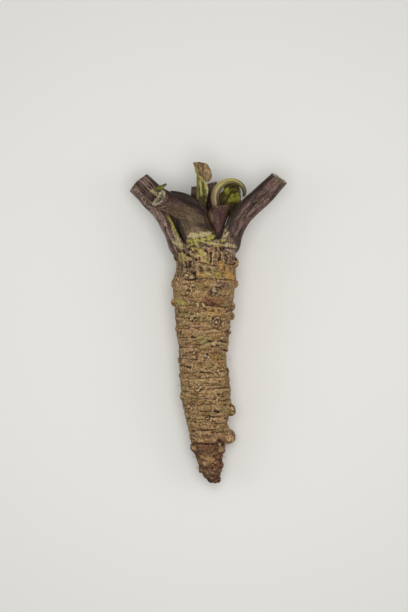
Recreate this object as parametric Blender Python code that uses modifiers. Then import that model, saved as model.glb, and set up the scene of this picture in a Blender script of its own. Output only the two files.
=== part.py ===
"""A fresh wasabi rhizome with its trimmed leaf stalks, lying on its side.

The rhizome runs along -Y from the crown to the broken tip and the stalks spread
along +Y. The table is the plane Z = 0. Sizes below are in millimetres, measured
from the middle of the crown's flat top, and are turned into metres by MM.
"""

import math

import bmesh
import bpy
from mathutils import Vector

MM = 0.001
CROWN = Vector((-1.9, 44.1, 18.2)) * MM  # middle of the crown's top, above the table
SEAT_GAP = 0.3  # between the crown's top and the foot of each stalk
SPINE_FALL = 0.06  # how much the rhizome's middle line drops per millimetre along it

# The rhizome's middle line and thickness: (distance along Y, sideways, radius).
RHIZOME = [
    (0.0, 0.0, 15.6),
    (-2.0, 0.0, 17.0),
    (-5.0, 0.1, 17.2),
    (-9.0, 0.3, 16.5),
    (-14.8, 0.3, 16.4),
    (-19.8, 0.0, 17.3),
    (-26.4, -0.5, 16.8),
    (-33.0, -0.5, 16.2),
    (-39.6, -0.3, 15.9),
    (-43.0, -0.7, 14.9),
    (-53.0, -0.6, 14.0),
    (-59.4, -1.0, 12.9),
    (-67.6, -0.8, 13.2),
    (-75.0, 0.1, 13.9),
    (-86.0, 1.0, 13.8),
    (-92.4, 1.6, 12.8),
    (-100.4, 1.2, 10.7),
    (-104.0, 1.2, 9.8),
    (-112.0, 2.0, 9.2),
    (-118.8, 3.2, 6.9),
    (-125.4, 3.2, 5.4),
    (-130.4, 4.6, 3.4),
    (-132.6, 5.2, 1.7),
]
RHIZOME_RINGS = 67
RHIZOME_SIDES = 30
WELD = 0.01  # points closer than this are one point

# Side buds that change the outline: (along Y, angle round the rhizome, height, width).
# The angle is 0 at +X and 90 at +Z.
BUDS = [
    (-9.9, 8, 2.0, 3.4),
    (-21.5, 4, 1.6, 2.8),
    (-35.0, 6, 1.4, 2.6),
    (-48.5, 5, 1.1, 2.4),
    (-70.0, 8, 0.9, 2.6),
    (-90.0, 8, 2.2, 3.4),
    (-106.0, 14, 5.6, 3.6),
    (-120.0, 10, 1.3, 2.4),
    (-31.5, 176, 1.8, 2.8),
    (-23.0, 182, 1.3, 2.6),
    (-47.0, 160, 1.0, 2.6),
    (-111.5, 168, 2.2, 3.0),
    (-125.0, 168, 1.3, 2.2),
    (-43.0, 60, 1.4, 3.0),
    (-25.5, 66, 1.5, 3.4),
    (-18.0, 120, 1.3, 3.2),
    (-60.0, 235, 1.2, 3.0),
    (-50.0, 310, 1.3, 3.0),
    (-14.0, 215, 1.5, 3.2),
    (-98.0, 225, 1.4, 3.0),
]

# Leaf stalks. Each station is (x, y, z, width, thickness, hollow of the inner side,
# wrap round the crown). A stalk's foot clasps the crown, and its other end is cut.
FOOT = SEAT_GAP
STALKS = {
    "stalk_front": [
        (-2.0, FOOT, 12.9, 17.0, 4.4, 0.3, 0.075),
        (-4.2, 7.0, 13.6, 16.0, 4.6, 0.4, 0.070),
        (-8.2, 14.5, 14.2, 14.2, 5.0, 0.5, 0.055),
        (-14.2, 20.2, 13.8, 11.4, 5.4, 0.5, 0.035),
        (-20.6, 22.6, 11.6, 9.0, 5.6, 0.4, 0.015),
        (-25.4, 23.0, 8.8, 8.0, 5.6, 0.3, 0.010),
    ],
    "stalk_outer_left": [
        (-13.4, FOOT, 1.4, 10.0, 4.6, 0.2, 0.060),
        (-17.2, 7.1, 1.8, 8.6, 6.2, 0.3, 0.030),
        (-22.5, 13.9, 0.6, 7.6, 7.0, 0.3, 0.010),
        (-28.4, 20.3, -1.2, 7.3, 7.0, 0.3, 0.000),
        (-33.6, 25.8, -2.6, 7.2, 7.0, 0.3, 0.000),
        (-39.1, 31.5, -3.8, 7.2, 7.0, 0.3, 0.000),
    ],
    "stalk_inner_left": [
        (-9.6, FOOT, -8.8, 9.0, 4.4, 0.2, 0.060),
        (-11.0, 8.0, -9.0, 8.0, 5.6, 0.3, 0.030),
        (-15.8, 17.0, -7.6, 7.2, 6.4, 0.3, 0.010),
        (-22.2, 25.4, -5.0, 7.0, 6.8, 0.3, 0.000),
        (-27.8, 31.2, -2.6, 7.0, 6.8, 0.3, 0.000),
        (-33.5, 36.4, -0.8, 7.0, 6.8, 0.3, 0.000),
    ],
    "stalk_right": [
        (12.0, FOOT, 4.6, 13.0, 8.2, 0.2, 0.050),
        (15.7, 8.5, 6.2, 12.0, 9.0, 0.3, 0.030),
        (22.0, 16.5, 6.8, 10.8, 9.4, 0.4, 0.010),
        (29.2, 23.6, 6.0, 10.2, 9.4, 0.4, 0.000),
        (36.0, 30.2, 4.6, 10.0, 9.4, 0.4, 0.000),
        (42.2, 36.0, 3.0, 10.0, 9.4, 0.4, 0.000),
    ],
    "stalk_inner_right": [
        (3.6, FOOT, 6.0, 6.6, 3.4, 0.2, 0.060),
        (5.0, 7.0, 7.6, 7.6, 3.8, 0.3, 0.040),
        (7.4, 13.5, 10.0, 9.8, 4.4, 0.4, 0.030),
        (10.2, 19.6, 12.0, 11.0, 4.8, 0.5, 0.030),
    ],
    "stalk_back_left": [
        (-1.4, FOOT, -13.0, 9.0, 4.4, 0.2, 0.060),
        (-2.4, 10.0, -12.2, 8.2, 5.0, 0.3, 0.040),
        (-3.4, 21.0, -9.0, 7.8, 5.4, 0.4, 0.020),
        (-3.9, 31.2, -5.6, 7.6, 5.4, 0.4, 0.010),
    ],
    "stalk_back_right": [
        (8.2, FOOT, -10.4, 9.0, 4.4, 0.2, 0.060),
        (8.0, 10.0, -10.0, 8.0, 5.0, 0.3, 0.040),
        (6.0, 22.0, -6.8, 7.2, 5.2, 0.4, 0.020),
        (4.2, 33.2, -3.0, 7.0, 5.2, 0.4, 0.010),
    ],
}
STALK_RINGS = 13
STALK_SIDES = 16
UP_THE_CROWN = Vector((0.0, 1.0, 0.0))
TURNING_RINGS = 4  # rings over which a stalk's sections turn from the crown's plane
HOLLOW_SPREAD = 0.5  # width of the groove on a stalk's inner side, as a share of its half width

# The young stalk that curls over at its top: (x, y, z, radius).
CURL = [
    (1.0, FOOT, -1.0, 2.5),
    (1.0, 2.2, -1.0, 2.6),
    (1.0, 4.2, -1.0, 2.6),
    (2.8, 10.5, 0.6, 2.6),
    (5.2, 17.0, 3.2, 2.5),
    (5.6, 23.5, 5.2, 2.3),
    (6.6, 28.2, 6.2, 2.2),
    (9.6, 32.0, 6.8, 2.0),
    (13.4, 34.0, 7.0, 1.8),
    (17.3, 34.0, 6.8, 1.6),
    (20.4, 32.0, 6.6, 1.4),
    (21.9, 29.2, 6.4, 1.2),
    (21.5, 26.6, 6.2, 1.1),
]
CURL_RINGS = 34

# Leaf remnants. Each row is (y, left x, right x, height of the leaf's edges).
LEAVES = {
    "withered_leaf": [
        (FOOT, -6.2, -4.0, 2.6),
        (12.0, -5.0, -2.8, 4.4),
        (23.0, -3.6, -0.6, 6.2),
        (30.0, -4.0, -0.4, 7.0),
        (34.6, -4.1, 3.4, 7.4),
        (37.2, -3.9, 4.0, 7.6),
        (40.0, -3.8, 2.6, 8.0),
        (44.3, -5.6, 2.0, 8.8),
    ],
    "green_bract": [
        (FOOT, -3.2, -1.2, 4.8),
        (10.0, -2.8, -0.4, 7.2),
        (19.5, -2.4, 0.6, 9.8),
        (24.5, -2.2, 1.4, 10.4),
        (29.0, -2.0, 2.0, 10.6),
        (33.0, -2.4, 0.8, 10.8),
        (36.6, -2.7, -2.3, 10.8),
    ],
    "folded_leaf": [
        (FOOT, 4.6, 6.6, 0.2),
        (10.0, 7.0, 9.6, 1.0),
        (17.0, 9.4, 13.4, 1.4),
        (21.6, 11.0, 19.0, 1.6),
        (25.0, 10.4, 20.2, 2.2),
        (28.5, 11.4, 19.6, 2.4),
        (31.4, 13.4, 18.0, 2.0),
    ],
    "leaf_scrap": [
        (28.6, -25.4, -22.8, 0.4),
        (30.4, -25.8, -21.4, 1.1),
        (32.4, -24.6, -21.6, 1.5),
    ],
}
LEAF_ROWS = 12
LEAF_COLUMNS = 6
LEAF_THICKNESS = 0.7
LEAF_CUP = 0.14  # how far a leaf's middle sinks, as a share of its width

COLOURS = {
    "rhizome": (0.20, 0.14, 0.075),
    "stalk": (0.085, 0.05, 0.045),
    "curled_stalk": (0.17, 0.14, 0.065),
    "withered_leaf": (0.24, 0.16, 0.075),
    "green_bract": (0.17, 0.19, 0.05),
    "folded_leaf": (0.20, 0.21, 0.02),
    "leaf_scrap": (0.16, 0.20, 0.03),
}
ROUGHNESS = 0.7


def clear_scene():
    for obj in list(bpy.data.objects):
        bpy.data.objects.remove(obj, do_unlink=True)


def smooth(stations, count):
    """count stations along the smooth curve (Catmull-Rom) through the given ones."""
    found = []
    last = len(stations) - 1
    for i in range(count):
        at = i * last / (count - 1)
        k = min(int(at), last - 1)
        t = at - k
        a, b, c, d = (stations[min(max(k + j, 0), last)] for j in (-1, 0, 1, 2))
        found.append(
            tuple(
                0.5
                * (
                    2 * q
                    + (r - p) * t
                    + (2 * p - 5 * q + 4 * r - s) * t**2
                    + (3 * q - p - 3 * r + s) * t**3
                )
                for p, q, r, s in zip(a, b, c, d)
            )
        )
    return found


def material(name, colour):
    made = bpy.data.materials.new(name)
    made.use_nodes = True
    shader = made.node_tree.nodes["Principled BSDF"]
    shader.inputs["Base Color"].default_value = (*colour, 1.0)
    shader.inputs["Roughness"].default_value = ROUGHNESS
    shader.inputs["Metallic"].default_value = 0.0
    return made


def place(obj, finish, collection, crown):
    """Puts an object modelled round the crown's middle into the part."""
    obj.data.materials.clear()
    obj.data.materials.append(finish)
    collection.objects.link(obj)
    obj.parent = crown
    return obj


def tube(name, stations, sides):
    """A curve object with round sections, through (x, y, z, radius) stations."""
    curve = bpy.data.curves.new(name, "CURVE")
    curve.dimensions = "3D"
    curve.bevel_depth = MM
    curve.bevel_resolution = sides // 2 - 2
    curve.use_fill_caps = True
    spline = curve.splines.new("POLY")
    spline.points.add(len(stations) - 1)
    for point, (x, y, z, radius) in zip(spline.points, stations):
        point.co = (x * MM, y * MM, z * MM, 1.0)
        point.radius = radius
    return bpy.data.objects.new(name, curve)


def as_mesh(shape):
    """The evaluated shape, a curve or a turned profile, as a closed mesh object."""
    name = shape.name
    bpy.context.scene.collection.objects.link(shape)
    bpy.context.view_layer.update()
    graph = bpy.context.evaluated_depsgraph_get()
    mesh = bpy.data.meshes.new_from_object(shape.evaluated_get(graph))
    bpy.data.objects.remove(shape, do_unlink=True)
    bm = bmesh.new()
    bm.from_mesh(mesh)
    bmesh.ops.remove_doubles(bm, verts=bm.verts, dist=WELD * MM)
    bmesh.ops.recalc_face_normals(bm, faces=bm.faces)
    bm.to_mesh(mesh)
    bm.free()
    mesh.name = name
    return bpy.data.objects.new(name, mesh)


def raise_buds(vertices):
    """Moves the straight rhizome's surface out over each side bud."""
    for vertex in vertices:
        x, y, z = vertex.co / MM
        radius = math.hypot(x, z)
        if radius < WELD:
            continue
        angle = math.atan2(z, x)
        rise = 0.0
        for along, degrees, height, width in BUDS:
            turn = math.remainder(angle - math.radians(degrees), math.tau)
            gap = math.hypot(y - along, turn * radius) / width
            rise += height * math.exp(-(gap**2))
        stretch = 1 + rise / radius
        vertex.co.x *= stretch
        vertex.co.z *= stretch


def rest_on_table(bm):
    """Flattens the underside where it would reach below the table."""
    bmesh.ops.bisect_plane(
        bm,
        geom=bm.verts[:] + bm.edges[:] + bm.faces[:],
        plane_co=(0.0, 0.0, -CROWN.z),
        plane_no=(0.0, 0.0, -1.0),
        clear_outer=True,
    )
    bmesh.ops.holes_fill(bm, edges=bm.edges)
    bmesh.ops.recalc_face_normals(bm, faces=bm.faces)


def turned(name, profile):
    """An object turned round the Y axis from (along, radius) points."""
    mesh = bpy.data.meshes.new(name)
    ends = [(profile[0][0], 0.0), *profile, (profile[-1][0], 0.0)]
    edges = [(i, i + 1) for i in range(len(ends) - 1)]
    mesh.from_pydata([(r * MM, y * MM, 0.0) for y, r in ends], edges, [])
    obj = bpy.data.objects.new(name, mesh)
    screw = obj.modifiers.new("turning", "SCREW")
    screw.axis = "Y"
    screw.steps = screw.render_steps = RHIZOME_SIDES
    screw.use_merge_vertices = True
    screw.merge_threshold = WELD * MM
    return obj


def bend(vertices, stations):
    """Moves each ring of the turned rhizome onto its middle line, which falls to the tip."""
    for vertex in vertices:
        y = vertex.co.y / MM
        sideways = min(stations, key=lambda s: abs(s[0] - y))[1]
        vertex.co.x += sideways * MM
        vertex.co.z += SPINE_FALL * vertex.co.y


def rhizome():
    """The swollen stem: a turned body bent to its middle line, its buds and flat seats."""
    stations = smooth(RHIZOME, RHIZOME_RINGS)
    body = as_mesh(turned("rhizome", [(y, radius) for y, _, radius in stations]))
    bm = bmesh.new()
    bm.from_mesh(body.data)
    raise_buds(bm.verts)
    bend(bm.verts, stations)
    rest_on_table(bm)
    bm.to_mesh(body.data)
    bm.free()
    return body


def stalk_section(width, thickness, hollow, wrap):
    """Points round a leaf stalk's section, its outer side at +Y.

    The inner side is grooved, and the whole section bends round the crown.
    """
    points = []
    for i in range(STALK_SIDES):
        turn = math.tau * i / STALK_SIDES
        x = width / 2 * math.cos(turn)
        y = thickness / 2 * math.sin(turn)
        if y < 0:
            share = x / (width / 2 * HOLLOW_SPREAD)
            y *= 1 - 1.6 * hollow * math.exp(-(share**2))
        points.append((x, y - wrap * x**2 / 2))
    return points


def stalk(name, stations):
    """A leaf stalk: a loft from the wide clasping foot to the narrower cut end."""
    rings = smooth(stations, STALK_RINGS)
    centres = [Vector(ring[:3]) for ring in rings]
    foot = centres[0]
    outward = Vector((foot.x, 0.0, foot.z)).normalized()
    bm = bmesh.new()
    loops = []
    for i, ring in enumerate(rings):
        before, after = centres[max(i - 1, 0)], centres[min(i + 1, len(rings) - 1)]
        along = (after - before).normalized()
        along = UP_THE_CROWN.lerp(along, min(i / TURNING_RINGS, 1.0)).normalized()
        outward = (outward - along * outward.dot(along)).normalized()
        side = along.cross(outward)
        loops.append(
            [
                bm.verts.new((centres[i] + side * x + outward * y) * MM)
                for x, y in stalk_section(*ring[3:])
            ]
        )
    for lower, upper in zip(loops, loops[1:]):
        for i in range(STALK_SIDES):
            j = (i + 1) % STALK_SIDES
            bm.faces.new((lower[i], lower[j], upper[j], upper[i]))
    bm.faces.new(loops[0])
    bm.faces.new(loops[-1])
    bmesh.ops.recalc_face_normals(bm, faces=bm.faces)
    mesh = bpy.data.meshes.new(name)
    bm.to_mesh(mesh)
    bm.free()
    return bpy.data.objects.new(name, mesh)


def leaf(name, rows):
    """A leaf remnant: a cupped sheet with its real thickness."""
    bm = bmesh.new()
    bmesh.ops.create_grid(bm, x_segments=LEAF_COLUMNS, y_segments=LEAF_ROWS, size=0.5)
    outline = smooth(rows, LEAF_ROWS + 1)
    for vertex in bm.verts:
        across = vertex.co.x + 0.5
        y, left, right, height = outline[round((vertex.co.y + 0.5) * LEAF_ROWS)]
        width = right - left
        sink = LEAF_CUP * width * 4 * across * (1 - across)
        vertex.co = Vector((left + width * across, y, height - sink)) * MM
    mesh = bpy.data.meshes.new(name)
    bm.to_mesh(mesh)
    bm.free()
    sheet = bpy.data.objects.new(name, mesh)
    thickness = sheet.modifiers.new("leaf thickness", "SOLIDIFY")
    thickness.thickness = LEAF_THICKNESS * MM
    thickness.offset = 0.0
    return sheet


def shade(obj):
    if obj.type == "MESH":
        obj.data.shade_smooth()
        obj.data.set_sharp_from_angle(angle=math.radians(40))


def main():
    clear_scene()
    collection = bpy.data.collections.new("wasabi_rhizome")
    bpy.context.scene.collection.children.link(collection)
    crown = bpy.data.objects.new("crown", None)
    crown.location = CROWN
    collection.objects.link(crown)

    place(rhizome(), material("rhizome", COLOURS["rhizome"]), collection, crown)
    for name, stations in STALKS.items():
        place(stalk(name, stations), material(name, COLOURS["stalk"]), collection, crown)
    curl = as_mesh(tube("curled_stalk", smooth(CURL, CURL_RINGS), 10))
    place(curl, material("curled_stalk", COLOURS["curled_stalk"]), collection, crown)
    for name, rows in LEAVES.items():
        place(leaf(name, rows), material(name, COLOURS[name]), collection, crown)
    for obj in collection.objects:
        shade(obj)


main()
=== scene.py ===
import math

import bpy
import numpy as np
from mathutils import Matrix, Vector


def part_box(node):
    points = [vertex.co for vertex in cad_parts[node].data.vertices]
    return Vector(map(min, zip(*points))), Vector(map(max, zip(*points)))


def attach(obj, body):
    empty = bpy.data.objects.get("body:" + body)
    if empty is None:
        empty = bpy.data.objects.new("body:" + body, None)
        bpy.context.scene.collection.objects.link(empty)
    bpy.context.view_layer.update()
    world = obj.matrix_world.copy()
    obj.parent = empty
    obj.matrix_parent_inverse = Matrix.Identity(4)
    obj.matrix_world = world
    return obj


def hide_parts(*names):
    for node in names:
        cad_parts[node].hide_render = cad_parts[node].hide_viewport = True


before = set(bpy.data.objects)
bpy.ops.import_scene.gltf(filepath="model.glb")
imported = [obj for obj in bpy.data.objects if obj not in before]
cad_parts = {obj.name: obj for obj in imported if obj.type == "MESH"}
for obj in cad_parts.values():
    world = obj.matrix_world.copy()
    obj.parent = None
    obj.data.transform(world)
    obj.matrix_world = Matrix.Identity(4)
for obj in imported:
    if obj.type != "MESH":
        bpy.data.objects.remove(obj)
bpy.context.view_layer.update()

# All shapes are worked out in millimetres from the middle of the crown's top: x to the
# right, y along the root towards the stalks, z up. toWorld turns them into the frame.
mm = 0.001
crownSide, axisHeight = -1.9, 18.2  # of the crown's middle in the frame
crown = np.array([crownSide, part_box("rhizome")[1].y / mm, axisHeight])


def toWorld(points):
    return (np.asarray(points, float) + crown) * mm


# numbers that vary smoothly

def curveThrough(stations, count):
    # count rows along the Catmull-Rom curve through the stations, evenly spaced along it
    st = np.asarray(stations, float)
    padded = np.vstack([2 * st[0] - st[1], st, 2 * st[-1] - st[-2]])
    t = np.linspace(0, len(st) - 1, 40 * len(st))
    k = np.minimum(t.astype(int), len(st) - 2)
    f = (t - k)[:, None]
    p, q, r, s = (padded[k + i] for i in range(4))
    squares, cubes = 2 * p - 5 * q + 4 * r - s, 3 * q - p - 3 * r + s
    dense = 0.5 * (2 * q + (r - p) * f + squares * f**2 + cubes * f**3)
    step = np.linalg.norm(np.diff(dense[:, : min(st.shape[1], 3)], axis=0), axis=1)
    run = np.concatenate([[0], np.cumsum(step)])
    want = np.linspace(0, run[-1], count)
    return np.column_stack([np.interp(want, run, dense[:, i]) for i in range(st.shape[1])])


def ease(low, high, x):
    t = np.clip((x - low) / (high - low), 0, 1)
    return t * t * (3 - 2 * t)


def band(low, high, soft, x):  # 1 between low and high, fading out over soft
    return ease(low - soft, low, x) * (1 - ease(high, high + soft, x))


def hill(x, middle, wide):  # 1 at the middle, falling off on both sides
    return np.exp(-(((x - middle) / wide) ** 2))


def unitRows(rows):
    return rows / np.linalg.norm(rows, axis=1, keepdims=True)


def smoothMax(a, b, blend):
    h = np.clip(0.5 + 0.5 * (a - b) / blend, 0, 1)
    return b + (a - b) * h + blend * h * (1 - h)


def soften(field, passes):
    # each number averaged with its neighbours; the last column meets the first
    for _ in range(passes):
        padded = np.vstack([field[:1], field, field[-1:]])
        field = (padded[:-2] + 2 * padded[1:-1] + padded[2:]) / 4
        field = (np.roll(field, 1, 1) + 2 * field + np.roll(field, -1, 1)) / 4
    return field


def lattice(ix, iy, iz, seed):
    # a repeatable number between -1 and 1 for each whole-numbered spot
    n = (ix * 374761393 + iy * 668265263 + iz * 1274126177 + seed * 974711) & 0xFFFFFFFF
    n = ((n ^ (n >> 13)) * 1103515245) & 0xFFFFFFFF
    n = ((n ^ (n >> 15)) * 1274126177) & 0xFFFFFFFF
    return (n ^ (n >> 16)) / 0xFFFFFFFF * 2 - 1


def noise(points, size, seed=0, octaves=1):
    # value noise between -1 and 1; size is a length in mm, or one for each axis
    total, weight, amp = 0, 0, 1.0
    scaled = np.asarray(points, float) / np.asarray(size, float)
    for octave in range(octaves):
        q = scaled * 2**octave + 17.3 * octave
        i = np.floor(q).astype(np.int64)
        f = q - i
        f = f * f * f * (f * (f * 6 - 15) + 10)
        value = 0
        for dx in (0, 1):
            for dy in (0, 1):
                for dz in (0, 1):
                    w = (
                        (f[..., 0] if dx else 1 - f[..., 0])
                        * (f[..., 1] if dy else 1 - f[..., 1])
                        * (f[..., 2] if dz else 1 - f[..., 2])
                    )
                    corner = (i[..., 0] + dx, i[..., 1] + dy, i[..., 2] + dz)
                    value = value + w * lattice(*corner, seed + octave)
        total = total + amp * value
        weight += amp
        amp *= 0.5
    return total / weight


def warped(points, size, amount, seed):
    # the points pushed about, so that noise on them loses its grid
    push = [noise(points, size, seed + 100 * axis, 2) for axis in range(3)]
    return points + amount * np.stack(push, -1)


def stroke(points, x0, y0, x1, y1, half, seed):
    # 1 under a brush drawn between two spots as seen from above, ragged at its edge
    low = np.minimum((x0, y0), (x1, y1)) - 1.9 * half
    high = np.maximum((x0, y0), (x1, y1)) + 1.9 * half
    near = np.all((points[..., :2] > low) & (points[..., :2] < high), -1)
    mark = np.zeros(near.shape)
    p = points[near]
    dx, dy = x1 - x0, y1 - y0
    t = np.clip(((p[:, 0] - x0) * dx + (p[:, 1] - y0) * dy) / max(dx * dx + dy * dy, 1e-6), 0, 1)
    d = np.hypot(p[:, 0] - x0 - t * dx, p[:, 1] - y0 - t * dy) / half
    mark[near] = 1 - ease(0.1, 1.5, d + 0.5 * noise(p, 0.5 + 0.6 * half, seed, 3))
    return mark


def addStrokes(tints, points, strokes, seed, share=1):
    # a list of (tint, from x, y, to x, y, half width, strength) drawn on the first rows of the tints
    for count, (tint, *spots, strength) in enumerate(strokes):
        tints[tint][: len(points)] += strength * share * stroke(points, *spots, seed + 20 + count)


# meshes from rows of points

def linked(name, data):
    thing = bpy.data.objects.new(name, data)
    bpy.context.scene.collection.objects.link(thing)
    return thing


def meshFromGrid(name, grid, values):
    # grid is rows x columns x 3 in mm. The last column meets the first, and both ends are closed.
    rows, cols = grid.shape[:2]
    i = np.arange(rows - 1)[:, None] * cols
    j = np.arange(cols)[None, :]
    k = (j + 1) % cols
    faces = np.stack([i + j, i + k, i + cols + k, i + cols + j], -1).reshape(-1, 4).tolist()
    faces.append(list(range(cols))[::-1])
    faces.append(list(range((rows - 1) * cols, rows * cols)))
    mesh = bpy.data.meshes.new(name)
    mesh.from_pydata(toWorld(grid.reshape(-1, 3)).tolist(), [], faces)
    for key, value in values.items():
        flat = np.ascontiguousarray(value, float).reshape(rows * cols, -1)
        kind, field = ("FLOAT_VECTOR", "vector") if flat.shape[1] == 3 else ("FLOAT", "value")
        layer = mesh.attributes.new(key, kind, "POINT")
        layer.data.foreach_set(field, flat.ravel().astype(np.float32))
    mesh.validate()
    mesh.shade_smooth()
    return linked(name, mesh)


def gridNormals(grid, around=True):
    if around:
        across = np.roll(grid, -1, 1) - np.roll(grid, 1, 1)
    else:
        across = np.gradient(grid, axis=1)
    along = np.gradient(grid, axis=0)
    n = np.cross(along, across)
    return n / np.maximum(np.linalg.norm(n, axis=-1, keepdims=True), 1e-9)


# shader graphs

class Value:
    # one socket, so that shader maths reads as arithmetic

    def __init__(self, graph, socket):
        self.graph, self.socket = graph, socket

    def math(self, operation, *pair):
        return self.graph.add("ShaderNodeMath", {"operation": operation}, pair)

    def __add__(self, other):
        return self.math("ADD", self, other)

    def __radd__(self, other):
        return self.math("ADD", other, self)

    def __sub__(self, other):
        return self.math("SUBTRACT", self, other)

    def __rsub__(self, other):
        return self.math("SUBTRACT", other, self)

    def __mul__(self, other):
        return self.math("MULTIPLY", self, other)

    def __rmul__(self, other):
        return self.math("MULTIPLY", other, self)

    def kept(self):  # held between 0 and 1
        return self.graph.add("ShaderNodeMath", {"operation": "ADD", "use_clamp": True}, (self, 0.0))

    def ramp(self, low, high):  # 0 at low, 1 at high
        return self.graph.add("ShaderNodeMapRange", {}, {"Value": self, "From Min": low, "From Max": high})


class Graph:
    def __init__(self, name):
        self.material = bpy.data.materials.new(name)
        self.material.use_nodes = True
        self.nodes = self.material.node_tree.nodes
        self.links = self.material.node_tree.links
        self.shader = self.nodes["Principled BSDF"]

    def add(self, kind, settings, values, out=0):
        node = self.nodes.new(kind)
        for key, value in settings.items():
            setattr(node, key, value)
        pairs = values.items() if isinstance(values, dict) else enumerate(values)
        for key, value in pairs:
            self.feed(node.inputs[key], value)
        return Value(self, node.outputs[out])

    def feed(self, socket, value):
        if isinstance(value, Value):
            self.links.new(value.socket, socket)
        else:
            socket.default_value = value

    def set(self, **values):  # the shader's own sockets, their spaces written as _
        for key, value in values.items():
            self.feed(self.shader.inputs[key.replace("_", " ")], value)

    def mix(self, factor, a, b, blend="MIX"):
        settings = {"data_type": "RGBA", "blend_type": blend}
        return self.add("ShaderNodeMix", settings, {0: factor, 6: a, 7: b}, out=2)

    def place(self):  # object coordinates in mm
        where = self.add("ShaderNodeTexCoord", {}, {}, out="Object")
        return self.add("ShaderNodeVectorMath", {"operation": "SCALE"}, {0: where, "Scale": 1 / mm})

    def stretched(self, where, x, y, z):
        return self.add("ShaderNodeVectorMath", {"operation": "MULTIPLY"}, {0: where, 1: (x, y, z)})

    def noise(self, where, scale, detail=3.0, rough=0.55, distortion=0.0):
        values = {"Vector": where, "Scale": scale, "Detail": detail, "Roughness": rough}
        return self.add("ShaderNodeTexNoise", {}, {**values, "Distortion": distortion})

    def mask(self, name):
        return self.add("ShaderNodeAttribute", {"attribute_name": name}, {}, out="Fac")

    def vector(self, name):
        return self.add("ShaderNodeAttribute", {"attribute_name": name}, {}, out="Vector")

    def bump(self, height, strength, distance):
        values = {"Height": height, "Strength": strength, "Distance": distance}
        return self.add("ShaderNodeBump", {}, values)


def tone(r, g, b):
    # a colour as it is seen on a screen, 0 to 255, turned into the shader's linear colour
    lin = [c / 255 / 12.92 if c <= 10 else ((c / 255 + 0.055) / 1.055) ** 2.4 for c in (r, g, b)]
    return (*lin, 1.0)


def finishPiece(piece, material, slot, *nodes):
    piece.data.materials.append(material)
    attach(piece, "root")
    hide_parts(*nodes)
    return piece


# the root itself

root = {
    "rowStep": 0.40,  # mm between mesh rows
    "columns": 248,
    "fall": 0.06,  # the middle line drops this much per mm towards the tip
    "lumps": 0.6,  # height of the slow swellings in mm
    "wrinkle": 0.17,
    "fineGrain": (0.13, 0.1),  # mm, the finest roughness and the next
    "creaseDepth": 0.2,
    "olderFrom": (34.0, 60.0),  # mm from the crown over which the wrinkles grow to their full depth
    "oldEnd": (98, 112),  # over which the lumps of the old end set in
    "agedFrom": (106, 112),  # over which the skin turns brown
    "scarRange": (5.5, 130),  # mm from the crown to the first and the last leaf scar
    "scarPitch": (4.4, 2.4),  # mm from one leaf scar to the next, at the crown and at the tip
    "scarTurn": 137.5,  # degrees between them
    "scarReach": 112,  # degrees that a scar's ledge runs to each side of its middle
    "ledge": 0.38,
    "cleft": 0.42,
    "tableGap": 0.06,  # mm between its lowest places and the table
    "looseClusters": 64,
    "looseKnobs": 16,
    "looseSlits": 140,
    "seed": 11,
}

# (y, radius) from the middle of the crown over its shoulder and down to the tip
rootProfile = [
    (3.4, 0.0), (3.3, 3.2), (2.8, 6.8), (1.9, 10.4), (0.5, 13.4), (-1.4, 15.4), (-4.0, 16.3), (-6.9, 16.4),
    (-10.0, 16.1), (-14.9, 16.4), (-19.8, 17.2), (-26.4, 16.7), (-33.0, 16.2), (-39.6, 15.8), (-43.0, 14.8),
    (-53.0, 13.9), (-59.4, 12.9), (-67.6, 13.1), (-75.0, 13.7), (-86.0, 13.7), (-92.4, 12.8),
    (-100.4, 10.7), (-104.0, 9.8), (-112.0, 9.0), (-118.8, 7.0), (-125.0, 5.6), (-129.0, 4.5),
    (-131.2, 3.3), (-132.2, 1.9), (-132.6, 0.6),
]
# (y, sideways) of the middle line
rootLine = [
    (4.0, 0.0), (-5.0, 0.1), (-9.0, 0.3), (-14.8, 0.3), (-19.8, 0.0), (-26.4, -0.5), (-33.0, -0.5),
    (-39.6, -0.3), (-43.0, -0.7), (-53.0, -0.6), (-59.4, -1.0), (-67.6, -0.8), (-75.0, 0.1), (-86.0, 1.0),
    (-92.4, 1.6), (-100.4, 1.2), (-104.0, 1.2), (-112.0, 2.0), (-118.8, 3.2), (-125.4, 3.4), (-129.0, 4.5),
    (-131.2, 5.6), (-132.6, 6.0),
]
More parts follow.
